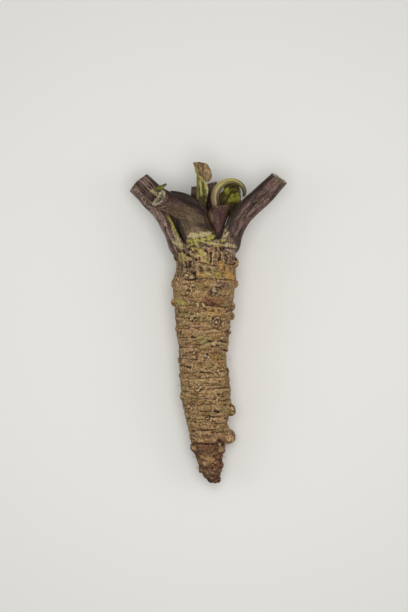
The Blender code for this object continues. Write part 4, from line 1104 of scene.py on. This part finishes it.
            (1.0, 26.0, 1.4, 7.6, 26.4, 1.6, 5.2, 0.5),
            (1.6, 33.2, 3.0, 6.9, 33.9, 3.2, 5.0, 0.4),
        ],
        "channels": [], "under": 0.3, "rib": 0.12, "cut": (0.05, 0.0), "chamber": 0.6, "streaks": 0.7,
        # the deep paint over most of its length is painted shade where it lies low under the other stalks
        "paint": [("deep", 0.0, 1.2, -3.0, 28.0, 1.0), ("wine", 0.0, 1.2, 24.0, 40.0, 0.7)],
        "strokes": [("deep", 2.0, 33.0, 6.6, 33.4, 0.5, 0.8)],
        "seed": 33,
    },
}
stalkMesh = {
    "step": 0.42, "columns": 88, "capRings": 10, "swell": 0.2, "crease": 0.06,
    "slantOver": 7,  # mm before the cut over which its slant builds up
    "ragged": 0.22,
    "raggedOver": 1.2,
    "skin": 0.10,  # share of the cut face that its rim takes
}
stalkTints = ("green", "cream", "olive", "tan", "deep", "wine", "mauve")


class StalkBody:
    # the middle surface of a stalk in rows, from which its sides, thickness and cut are laid out

    def __init__(self, spec):
        st = np.array(spec["stations"], float)
        left, right = st[:, 0:3], st[:, 3:6]
        rows = np.hstack([(left + right) / 2, (right - left) / 2, st[:, 6:8]])
        self.length = np.linalg.norm(np.diff(rows[:, :3], axis=0), axis=1).sum()
        rows = curveThrough(rows, int(self.length / stalkMesh["step"]))
        self.centre, self.half = rows[:, :3], rows[:, 3:6]
        self.thick, self.arch = rows[:, 6:7] / 2, rows[:, 7:8]
        self.ahead = unitRows(np.gradient(self.centre, axis=0))
        self.up = unitRows(np.cross(self.half, self.ahead))
        self.turn = np.linspace(0, math.tau, stalkMesh["columns"], endpoint=False)
        self.across = np.sign(np.cos(self.turn)) * np.abs(np.cos(self.turn)) ** 0.85
        self.share = np.linspace(0, 1, len(rows))[:, None]
        self.spec = spec

    def heights(self, across, height, row=slice(None)):
        # how far each point of the section stands from the line between the two sides
        depth = np.where(height < 0, 1 - self.spec["under"] * (1 - across**2), 1)
        flat = height * depth * self.thick[row] + self.arch[row] * (1 - across**2)
        shown = np.sqrt(np.clip(height, 0, 1)) * ease(0.12, 0.35, self.share[row])
        for middle, wide, deep in self.spec["channels"]:
            flat = flat - deep * shown * hill(across, middle, wide)
        return flat


def buildStalk(name, spec):
    body = StalkBody(spec)
    seed = spec["seed"]
    wide = np.repeat(body.across[None, :], len(body.share), 0)
    flat = body.heights(wide, np.sin(body.turn)[None, :])
    reach = np.linalg.norm(body.half, axis=1)[:, None]
    run = np.repeat(body.share * body.length, len(body.turn), 1)
    grain = np.stack([wide * reach, run, flat], -1)
    ribs = noise(grain, (0.9, 24.0, 0.9), seed, 2)
    swell = noise(grain, (3.4, 10.0, 3.4), seed + 3, 2)
    crease = noise(grain, (1.3, 2.4, 1.3), seed + 7, 2)
    section = body.centre[:, None] + body.half[:, None] * wide[..., None]
    section = section + body.up[:, None] * flat[..., None]
    normal = gridNormals(section)
    middleRow = len(section) // 2
    if np.sum(normal[middleRow] * (section[middleRow] - section[middleRow].mean(0))) < 0:
        normal = -normal
    lift = spec["rib"] * ribs + stalkMesh["swell"] * swell + stalkMesh["crease"] * crease
    grid = section + normal * lift[..., None]
    # the slant and the ragged rim of the cut
    tiltSide, tiltUp = spec["cut"]
    nearEnd = ease(body.length - stalkMesh["slantOver"], body.length, run)
    slide = nearEnd * (tiltSide * wide * reach + tiltUp * flat)
    ragged = spec.get("ragged", stalkMesh["ragged"])
    atRim = ease(body.length - stalkMesh["raggedOver"], body.length, run)
    slide += atRim * ragged * noise(section, 0.9, seed + 9, 2)
    grid = grid + body.ahead[:, None] * slide[..., None]

    # the cut face, ring by ring towards its middle
    rings = stalkMesh["capRings"]
    rim, height = grid[-1], np.sin(body.turn)
    edge = body.heights(body.across, height, -1)
    caps, hearts = [], []
    for k in range(1, rings + 1):
        t = (stalkMesh["skin"] + (1 - stalkMesh["skin"]) * k / rings) * 0.985
        scaled = body.heights(body.across * (1 - t), height * (1 - t), -1)
        shift = body.half[-1] * (-t * body.across)[:, None] + body.up[-1] * (scaled - edge)[:, None]
        slant = -t * tiltSide * body.across * reach[-1] + tiltUp * (scaled - edge)
        ring = rim + shift
        pits = noise(ring, 0.8, seed + 11, 2)
        depth = spec["chamber"] * ease(0.3, 0.8, t) * (0.75 + 0.5 * pits) + 0.12 * pits - 0.15 * (k == 1)
        caps.append(ring + body.ahead[-1] * (slant - depth)[:, None])
        hearts.append(np.full(len(body.turn), t))
    grid = np.concatenate([grid, np.array(caps)])
    total, rows = len(grid), len(run)
    end = np.zeros((total, len(body.turn)))
    end[rows:] = 1
    heart = np.concatenate([np.zeros_like(run), np.array(hearts)])
    values = {tint: np.zeros((total, len(body.turn))) for tint in stalkTints}
    capGrain = np.repeat(grain[-1:], rings, 0)
    values.update({"end": end, "heart": heart, "grain": np.concatenate([grain, capGrain])})
    frayed = 0.9 * noise(grain, (1.4, 3.0, 1.4), seed + 15, 2)
    for tint, middle, half, low, high, strength in spec["paint"]:
        soft = min(0.16, 0.8 * half)
        stripe = band(middle - half, middle + half, soft, wide + 0.5 * soft * frayed)
        stretch = band(low, high, 2.2, section[..., 1] + 1.6 * frayed)
        values[tint][:rows] = np.maximum(values[tint][:rows], strength * stripe * stretch)
    above = ease(-0.6, 0.0, np.sin(body.turn))
    addStrokes(values, section, spec["strokes"], seed, above)
    return meshFromGrid(name, grid, values)


stalkColours = {
    "plum": tone(97, 71, 65),
    # deep serves the stalks' dark streaks and specks, and also the painted shade in their gaps, pits and
    # hidden parts
    "deep": tone(36, 23, 18),
    "wine": tone(72, 38, 35),
    "mauve": tone(170, 144, 132),
    "tan": tone(116, 95, 64),
    "olive": tone(84, 71, 42),
    "green": tone(174, 163, 80),
    "cream": tone(190, 174, 126),
    "bloom": tone(122, 100, 84),
    "flesh": tone(192, 180, 154),
    "pith": tone(104, 102, 80),
}


def stalkMaterial(name, streakiness):
    c = stalkColours
    g = Graph(name)
    grain, where = g.vector("grain"), g.place()
    streaks = g.noise(g.stretched(grain, 1.0, 0.06, 1.0), 1.25, 5.0, 0.66)
    fine = g.noise(g.stretched(grain, 1.0, 0.2, 1.0), 2.6, 4.0, 0.65)
    clouds = g.noise(grain, 0.2, 4.0, 0.6)
    specks = g.noise(where, 1.1, 5.0, 0.7)
    colour = g.mix(clouds.ramp(0.38, 0.62), c["deep"], c["plum"])
    stipple = specks * 3.0 + fine * 2.0 - 2.85

    def tinted(colour, tint, most):
        return g.mix((g.mask(tint) * 1.35 + stipple).kept() * most, colour, c[tint])

    for tint, most in (("wine", 0.9), ("tan", 0.85)):
        colour = tinted(colour, tint, most)
    colour = g.mix(streaks.ramp(0.48, 0.64) * (0.85 * streakiness), colour, c["mauve"])
    colour = g.mix(streaks.ramp(0.47, 0.36) * (0.9 * streakiness), colour, c["deep"])
    for tint, most in (("mauve", 0.85), ("olive", 0.85), ("cream", 0.9), ("green", 0.95), ("deep", 0.9)):
        colour = tinted(colour, tint, most)
    colour = g.mix(fine.ramp(0.50, 0.36) * 0.45, colour, c["deep"])
    colour = g.mix(specks.ramp(0.55, 0.68) * (0.06 + 0.36 * streakiness), colour, c["bloom"])
    colour = g.mix(specks.ramp(0.48, 0.36) * 0.8, colour, c["deep"])
    heart = g.mask("heart")
    face = g.mix(heart.ramp(0.30, 0.62), c["flesh"], c["pith"])
    face = g.mix(specks.ramp(0.44, 0.58) * 0.8, face, c["olive"])
    face = g.mix(specks.ramp(0.46, 0.36) * 0.6, face, c["flesh"])
    face = g.mix(heart.ramp(0.16, 0.10), face, c["plum"])
    colour = g.mix(g.mask("end"), colour, face)
    rough = (0.40 + fine * 0.2 + g.mask("end") * 0.25).kept()
    height = streaks * (0.3 + 0.5 * streakiness) + fine * 0.35 + specks * 0.4
    g.set(Base_Color=colour, Roughness=rough, Normal=g.bump(height, 0.45, 0.0005))
    g.set(Specular_IOR_Level=0.2)
    return g.material


# the young stalk that curls over

curl = {
    # (x, y, z, half width seen from above, half thickness)
    "stations": [
        (3.0, -2.0, -1.0, 2.8, 2.6), (4.4, 7.0, 1.0, 2.6, 2.6), (6.0, 14.0, 3.6, 2.4, 2.4),
        (6.5, 19.6, 5.6, 2.3, 2.4), (5.8, 25.0, 6.8, 2.4, 2.4), (6.9, 29.3, 7.2, 2.35, 2.2),
        (9.3, 32.3, 7.2, 2.0, 2.0), (12.2, 33.8, 7.0, 1.65, 1.8), (15.6, 34.3, 6.6, 1.5, 1.7),
        (18.9, 33.1, 6.2, 1.4, 1.6), (21.2, 30.5, 5.8, 1.3, 1.4), (21.9, 27.6, 5.4, 1.1, 1.2),
        (21.2, 26.0, 5.2, 0.7, 0.8),
    ],
    "step": 0.30,
    "columns": 64,
    # (degrees round from the inner side, width, depth)
    "grooves": [(55, 16, 0.30), (125, 14, 0.14), (10, 12, 0.12)],
    "seed": 41,
}
curlColours = {
    "foot": tone(92, 70, 62),
    "lower": tone(146, 124, 92),
    "upper": tone(184, 174, 104),
    "end": tone(50, 44, 22),
    "paleStreak": tone(178, 168, 122),
    "darkStreak": tone(72, 56, 38),
    "inner": tone(40, 30, 18),
    "groove": tone(58, 46, 28),
}


def buildCurl():
    rows = np.array(curl["stations"], float)
    length = np.linalg.norm(np.diff(rows[:, :3], axis=0), axis=1).sum()
    rows = curveThrough(rows, int(length / curl["step"]))
    centre = rows[:, :3]
    ahead = unitRows(np.gradient(centre, axis=0))
    side = unitRows(np.cross(ahead, [0, 0, 1.0]))
    up = np.cross(side, ahead)
    cols = curl["columns"]
    turn = np.linspace(0, math.tau, cols, endpoint=False)
    cx, cy = np.cos(turn), np.sin(turn)
    dents = np.zeros(cols)
    for middle, wide, deep in curl["grooves"]:
        away = (np.degrees(turn) - middle + 180) % 360 - 180
        dents += deep * hill(away, 0, wide)
    share = np.linspace(0, 1, len(rows))[:, None]
    run = np.repeat(share * length, cols, 1)
    shape = (len(rows), cols)
    grain = np.stack([np.broadcast_to(cx * 2, shape), run, np.broadcast_to(cy * 2, shape)], -1)
    ring = (1 - dents) * (1 + 0.06 * noise(grain, (0.8, 12.0, 0.8), curl["seed"], 2))
    grid = (
        centre[:, None]
        + side[:, None] * (cx * ring * rows[:, 3:4])[..., None]
        + up[:, None] * (cy * ring * rows[:, 4:5])[..., None]
    )
    last, tip = grid[-1], ahead[-1] * 0.5
    rounded = [last.mean(0) * (1 - t) + last * t + tip * (1 - t) for t in (0.6, 0.15)]
    grid = np.concatenate([grid, np.array(rounded)])
    values = {
        "along": np.repeat(np.concatenate([share[:, 0], [1, 1]])[:, None], cols, 1),
        "grain": np.concatenate([grain, np.repeat(grain[-1:], 2, 0)]),
        "groove": np.repeat(np.clip(dents / 0.3, 0, 1)[None, :], len(grid), 0),
        "inner": np.repeat(np.clip(cx, 0, 1)[None, :], len(grid), 0),
    }
    return meshFromGrid("curledStalk", grid, values)


def curlMaterial():
    c = curlColours
    g = Graph("youngStalk")
    along, grain = g.mask("along"), g.vector("grain")
    streaks = g.noise(g.stretched(grain, 1.0, 0.05, 1.0), 1.3, 4.0, 0.6)
    clouds = g.noise(grain, 0.3, 3.0)
    shift = along + clouds * 0.12 - 0.06
    colour = g.mix(shift.ramp(0.30, 0.52), c["foot"], c["lower"])
    colour = g.mix(shift.ramp(0.54, 0.70), colour, c["upper"])
    colour = g.mix(shift.ramp(0.78, 0.92), colour, c["end"])
    colour = g.mix(streaks.ramp(0.52, 0.62) * 0.6, colour, c["paleStreak"])
    colour = g.mix(streaks.ramp(0.48, 0.38) * 0.8, colour, c["darkStreak"])
    # the side that faces into the loop and the grooves are darkened: painted shade
    colour = g.mix(g.mask("inner").ramp(0.55, 0.90) * 0.9, colour, c["inner"])
    colour = g.mix(g.mask("groove") * 0.8, colour, c["groove"])
    g.set(Base_Color=colour, Roughness=(0.38 + clouds * 0.2).kept(), Normal=g.bump(streaks, 0.35, 0.0004))
    g.set(Specular_IOR_Level=0.22)
    return g.material


# leaves

# Rows of (y, left x, right x, height) give each leaf's outline seen from above, with a fifth
# number where the right end lies further up or down than the left. Strokes are (tint, from x, y,
# to x, y, half width, strength).
leaves = {
    "witheredLeaf": {
        "node": "withered_leaf", "slot": "withered leaf", "thick": 0.4, "crumple": 1.3, "fold": 0.7,
        "teeth": 0.55,
        "rows": [
            (-1.0, -5.6, -3.8, 2.0), (10.0, -5.0, -3.4, 4.2), (20.0, -4.4, -2.8, 5.8),
            (27.0, -4.2, -2.8, 6.8), (32.0, -4.2, -2.9, 7.6), (35.6, -4.3, -2.6, 8.0),
            (37.0, -4.4, 0.8, 8.2, -3.6), (38.2, -4.6, 3.4, 8.3, -3.6), (39.4, -4.8, 3.9, 8.4, -2.4),
            (41.0, -5.2, 3.6, 8.6, -1.4), (42.6, -5.9, 2.3, 8.7, -0.6), (43.6, -6.3, 1.8, 8.8, -0.3),
            (44.2, -5.4, -2.2, 8.8, 0.0),
        ],
        "strokes": [
            ("edge", -5.0, 42.6, -3.8, 36.0, 0.9, 1.2), ("edge", -3.6, 36.0, -3.4, 24.0, 1.4, 1.0),
            ("dark", -6.2, 44.2, -2.0, 44.4, 0.5, 1.2), ("dark", 4.0, 38.6, 2.0, 33.8, 0.5, 1.1),
            ("dark", -1.6, 42.6, -0.6, 37.0, 0.35, 0.9), ("dark", -5.2, 43.4, -3.4, 41.6, 0.5, 1.2),
            ("dark", 1.0, 42.6, 1.8, 36.0, 0.3, 0.7), ("dark", -3.0, 38.6, 2.4, 34.0, 0.35, 0.9),
            ("dark", 2.2, 43.4, 4.0, 38.8, 0.35, 1.0),
        ],
        "seed": 51,
    },
    "greenBract": {
        "node": "green_bract", "slot": "green leaf", "thick": 0.5, "crumple": 0.5, "fold": 1.3,
        "teeth": 0.15,
        "rows": [
            (-1.0, -3.2, -1.2, 4.2), (10.0, -2.8, -0.4, 7.0), (18.0, -2.6, 0.6, 9.2),
            (24.5, -2.9, 1.3, 10.2), (28.5, -3.2, 2.1, 10.6), (31.0, -3.3, 1.8, 10.9),
            (33.6, -3.2, 0.2, 11.1), (35.4, -3.0, -1.4, 11.2), (36.5, -2.8, -2.5, 11.2),
        ],
        # the broad dark strokes over its lower part are painted shade where it runs down among the stalks
        "strokes": [
            ("edge", -2.6, 36.2, 0.8, 32.8, 0.4, 1.2), ("edge", 0.2, 33.0, 1.7, 29.0, 0.5, 1.0),
            ("edge", 1.6, 28.6, 1.2, 25.4, 0.4, 0.8), ("dark", -3.4, 27.0, -2.4, 22.0, 0.8, 0.9),
            ("dark", -0.8, 33.0, 0.0, 24.0, 0.5, 1.3), ("dark", -2.0, 22.6, 0.6, 10.0, 3.2, 1.9),
            ("dark", -3.2, 31.6, -2.6, 27.4, 0.5, 0.9), ("dark", 1.2, 27.0, 1.0, 24.6, 0.4, 0.9),
            ("edge", -2.4, 34.6, -1.8, 27.6, 0.4, 0.9),
        ],
        "seed": 57,
    },
    "foldedLeaf": {
        "node": "folded_leaf", "slot": "green leaf", "thick": 0.5, "crumple": 1.7, "fold": 1.6,
        "teeth": 0.45,
        "rows": [
            (-1.0, 4.8, 7.0, 0.0), (8.0, 6.4, 9.8, 0.8), (15.0, 7.4, 13.2, 1.6), (19.6, 7.8, 18.2, 2.2),
            (22.4, 7.6, 19.6, 2.8), (25.4, 7.8, 19.9, 3.4), (27.4, 8.8, 20.0, 3.7), (29.4, 10.4, 19.6, 3.7),
            (31.4, 10.8, 19.0, 3.6), (33.0, 12.4, 18.4, 3.4),
        ],
        # the broad dark strokes over its stem and its left part are painted shade in the gap beside the
        # sheath and by the curl's foot, the one over its top is painted shade under the curl's arch, and
        # the thin edge stroke on its stem is painted light where the slit between the sheath and the right
        # stalk shows through
        "strokes": [
            ("dark", 10.6, 8.0, 16.4, 19.6, 3.0, 1.8), ("edge", 13.4, 15.4, 15.4, 18.8, 0.4, 1.6),
            ("dark", 8.0, 20.0, 9.4, 27.6, 2.2, 1.5), ("dark", 11.0, 22.6, 14.6, 28.2, 0.7, 1.5),
            ("dark", 12.0, 32.0, 19.0, 30.8, 1.4, 1.2), ("dark", 15.0, 28.8, 19.6, 28.2, 0.7, 1.0),
            ("edge", 11.2, 28.6, 12.8, 30.8, 0.7, 1.0), ("edge", 13.6, 24.0, 18.6, 24.6, 1.3, 0.8),
            ("dark", 12.0, 21.6, 19.0, 21.8, 0.7, 0.9), ("dark", 16.4, 26.8, 17.6, 23.6, 0.4, 0.7),
        ],
        "seed": 63,
    },
    "leafScrap": {
        "node": "leaf_scrap", "slot": "green leaf", "thick": 0.4, "crumple": 1.0, "fold": 0.5, "teeth": 0.6,
        "rows": [
            (28.6, -25.2, -24.2, 9.4), (29.4, -26.0, -22.8, 10.0), (30.4, -25.8, -21.9, 10.4),
            (31.2, -24.8, -21.2, 10.7), (31.9, -22.8, -20.7, 10.9), (32.6, -21.4, -20.7, 11.0),
        ],
        "strokes": [
            ("dark", -22.4, 31.6, -20.8, 32.4, 0.5, 1.2), ("dark", -25.0, 29.0, -23.4, 29.4, 0.4, 0.9),
            ("edge", -25.4, 30.4, -23.8, 30.8, 0.4, 0.5),
        ],
        "seed": 69,
    },
}
leafMesh = {"step": 0.45, "columns": 26}


def buildLeaf(name, spec):
    rows = np.array([(*row, 0.0)[:5] for row in spec["rows"]])
    length = np.abs(np.diff(rows[:, 0])).sum()
    rows = curveThrough(rows, max(16, int(length / leafMesh["step"])))
    cols = leafMesh["columns"]
    across = np.linspace(0, 1, cols)[None, :]
    start, left, right, height, slant = (rows[:, i : i + 1] for i in range(5))
    y = start + slant * across
    width = right - left
    x = left + width * across
    flat = np.stack([x, y, np.repeat(height, cols, 1)], -1)
    blade = ease(0.8, 4.0, width)
    tooth = spec["teeth"] * noise(flat, 0.9, spec["seed"] + 5, 2) * blade
    x = x + tooth * (2 * across - 1) ** 3
    fold = spec["fold"] * (np.abs(2 * across - 1) - 0.5) * ease(0, 3, width)
    waves = spec["crumple"] * noise(flat, (2.6, 3.6, 2.6), spec["seed"], 3) * blade
    z = height + fold + waves
    front = np.stack([x, y, z], -1)
    normal = gridNormals(front, around=False)
    normal = np.where(normal[..., 2:] < 0, -normal, normal)
    rim = 0.35 + 0.65 * np.sin(np.pi * across) ** 0.5
    back = front - normal * (spec["thick"] * rim)[..., None]
    ring = np.concatenate([front, back[:, ::-1]], 1)
    tints = {"edge": np.zeros(x.shape), "dark": np.zeros(x.shape)}
    addStrokes(tints, front, spec["strokes"], spec["seed"])
    faces = {"grain": flat, "wave": waves, **tints}
    values = {key: np.concatenate([one, one[:, ::-1]], 1) for key, one in faces.items()}
    return meshFromGrid(name, ring, values)


leafColours = {
    "witheredLeaf": {
        "main": tone(166, 138, 98), "second": tone(88, 66, 44), "edge": tone(132, 126, 60),
        "vein": tone(196, 172, 132),
    },
    "greenBract": {
        "main": tone(144, 132, 72), "second": tone(56, 44, 26), "edge": tone(182, 174, 110),
        "vein": tone(158, 150, 84),
    },
    "foldedLeaf": {
        "main": tone(128, 124, 24), "second": tone(52, 42, 18), "edge": tone(152, 148, 54),
        "vein": tone(150, 146, 50),
    },
    "leafScrap": {
        "main": tone(118, 118, 40), "second": tone(60, 58, 28), "edge": tone(60, 62, 28),
        "vein": tone(134, 134, 60),
    },
}


def leafMaterial(name):
    c = leafColours[name]
    g = Graph(name + "Skin")
    grain = g.vector("grain")
    clouds = g.noise(grain, 0.42, 5.0, 0.65)
    fine = g.noise(g.stretched(grain, 1.0, 0.25, 1.0), 2.2, 4.0, 0.6)
    veins = g.noise(g.stretched(grain, 1.0, 0.22, 1.0), 1.3, 3.0, 0.5, 0.8)
    colour = g.mix(clouds.ramp(0.42, 0.60), c["main"], c["second"])
    colour = g.mix((veins.ramp(0.46, 0.50) * veins.ramp(0.54, 0.50)) * 0.6, colour, c["vein"])
    # darker where the crumples dip: painted shade in their troughs
    colour = g.mix(g.mask("wave").ramp(-0.05, -0.45) * 0.6, colour, c["second"])
    colour = g.mix((g.mask("edge") * (0.5 + clouds)).kept(), colour, c["edge"])
    colour = g.mix((g.mask("dark") * (0.5 + clouds)).kept() * 0.9, colour, c["second"])
    colour = g.mix(fine.ramp(0.52, 0.36) * 0.5, colour, c["second"])
    g.set(Base_Color=colour, Roughness=(0.5 + fine * 0.2).kept(), Normal=g.bump(fine + veins, 0.4, 0.0004))
    g.set(Specular_IOR_Level=0.18)
    return g.material


# the table, the light and the camera

studio = {
    "tableColour": tone(229, 228, 224),
    "tableReach": 8.0,  # metres from the middle to each edge
    "frameHeight": 336.6,  # mm of table that the picture's long side takes in
    "lookAt": (-2.15, 9.95, 18.0),  # mm in the frame
    "cameraDistance": 1250,
    "longSide": 36.0,  # mm of the camera's sensor
    "skyColour": (1.0, 0.995, 0.98, 1),
    "skyStrength": 0.46,
    # lamps: (place in metres, size, power, colour)
    "lamps": {
        "overhead": ((0.01, 0.01, 0.45), 0.35, 1.06, (1.0, 0.995, 0.985)),
        "leftFill": ((-0.8, 0.0, 0.5), 0.5, 0.9, (0.93, 1.0, 1.0)),
        "rightFill": ((0.8, 0.0, 0.5), 0.5, 1.0, (1.0, 0.92, 0.86)),
    },
}


def lampAtRoot(name, place, size, power, colour):
    data = bpy.data.lights.new(name, "AREA")
    data.shape, data.size, data.energy, data.color = "DISK", size, power, colour
    lamp = linked(name, data)
    lamp.location = place
    lamp.visible_camera = False
    lamp.rotation_euler = (-Vector(place)).to_track_quat("-Z", "Y").to_euler()


def buildStudio():
    s = studio
    r = s["tableReach"]
    mesh = bpy.data.meshes.new("table")
    mesh.from_pydata([(-r, -r, 0), (r, -r, 0), (r, r, 0), (-r, r, 0)], [], [(0, 1, 2, 3)])
    table = linked("table", mesh)
    g = Graph("tablePaper")
    g.set(Base_Color=s["tableColour"], Roughness=0.9, Specular_IOR_Level=0.1)
    mesh.materials.append(g.material)

    world = bpy.data.worlds.new("softRoom")
    world.use_nodes = True
    sky = world.node_tree.nodes["Background"]
    sky.inputs["Color"].default_value = s["skyColour"]
    sky.inputs["Strength"].default_value = s["skyStrength"]
    bpy.context.scene.world = world
    for lampName, values in s["lamps"].items():
        lampAtRoot(lampName, *values)
    bpy.context.scene.view_settings.view_transform = "Standard"

    data = bpy.data.cameras.new("camera")
    camera = linked("camera", data)
    x, y, z = s["lookAt"]
    camera.location = (x * mm, y * mm, (z + s["cameraDistance"]) * mm)
    data.sensor_width = s["longSide"]
    data.lens = s["longSide"] * s["cameraDistance"] / s["frameHeight"]
    data.clip_start, data.clip_end = 0.05, 20
    bpy.context.scene.camera = camera


buildStudio()
print("table, light and camera are set")
rootSkin = rootMaterial()
for part in (buildRoot(), buildBall(), buildHairs()):
    finishPiece(part, rootSkin, "rhizome skin", "rhizome")
print("root body is made")
for stalkName, stalkSpec in stalks.items():
    stalkSkin = stalkMaterial(stalkName + "Skin", stalkSpec["streaks"])
    finishPiece(buildStalk(stalkName, stalkSpec), stalkSkin, "leaf stalk", stalkSpec["node"])
print("leaf stalks are made")
finishPiece(buildCurl(), curlMaterial(), "young stalk", "curled_stalk")
for leafName, leafSpec in leaves.items():
    finishPiece(buildLeaf(leafName, leafSpec), leafMaterial(leafName), leafSpec["slot"], leafSpec["node"])
print("curl and leaves are made")

bpy.context.view_layer.update()
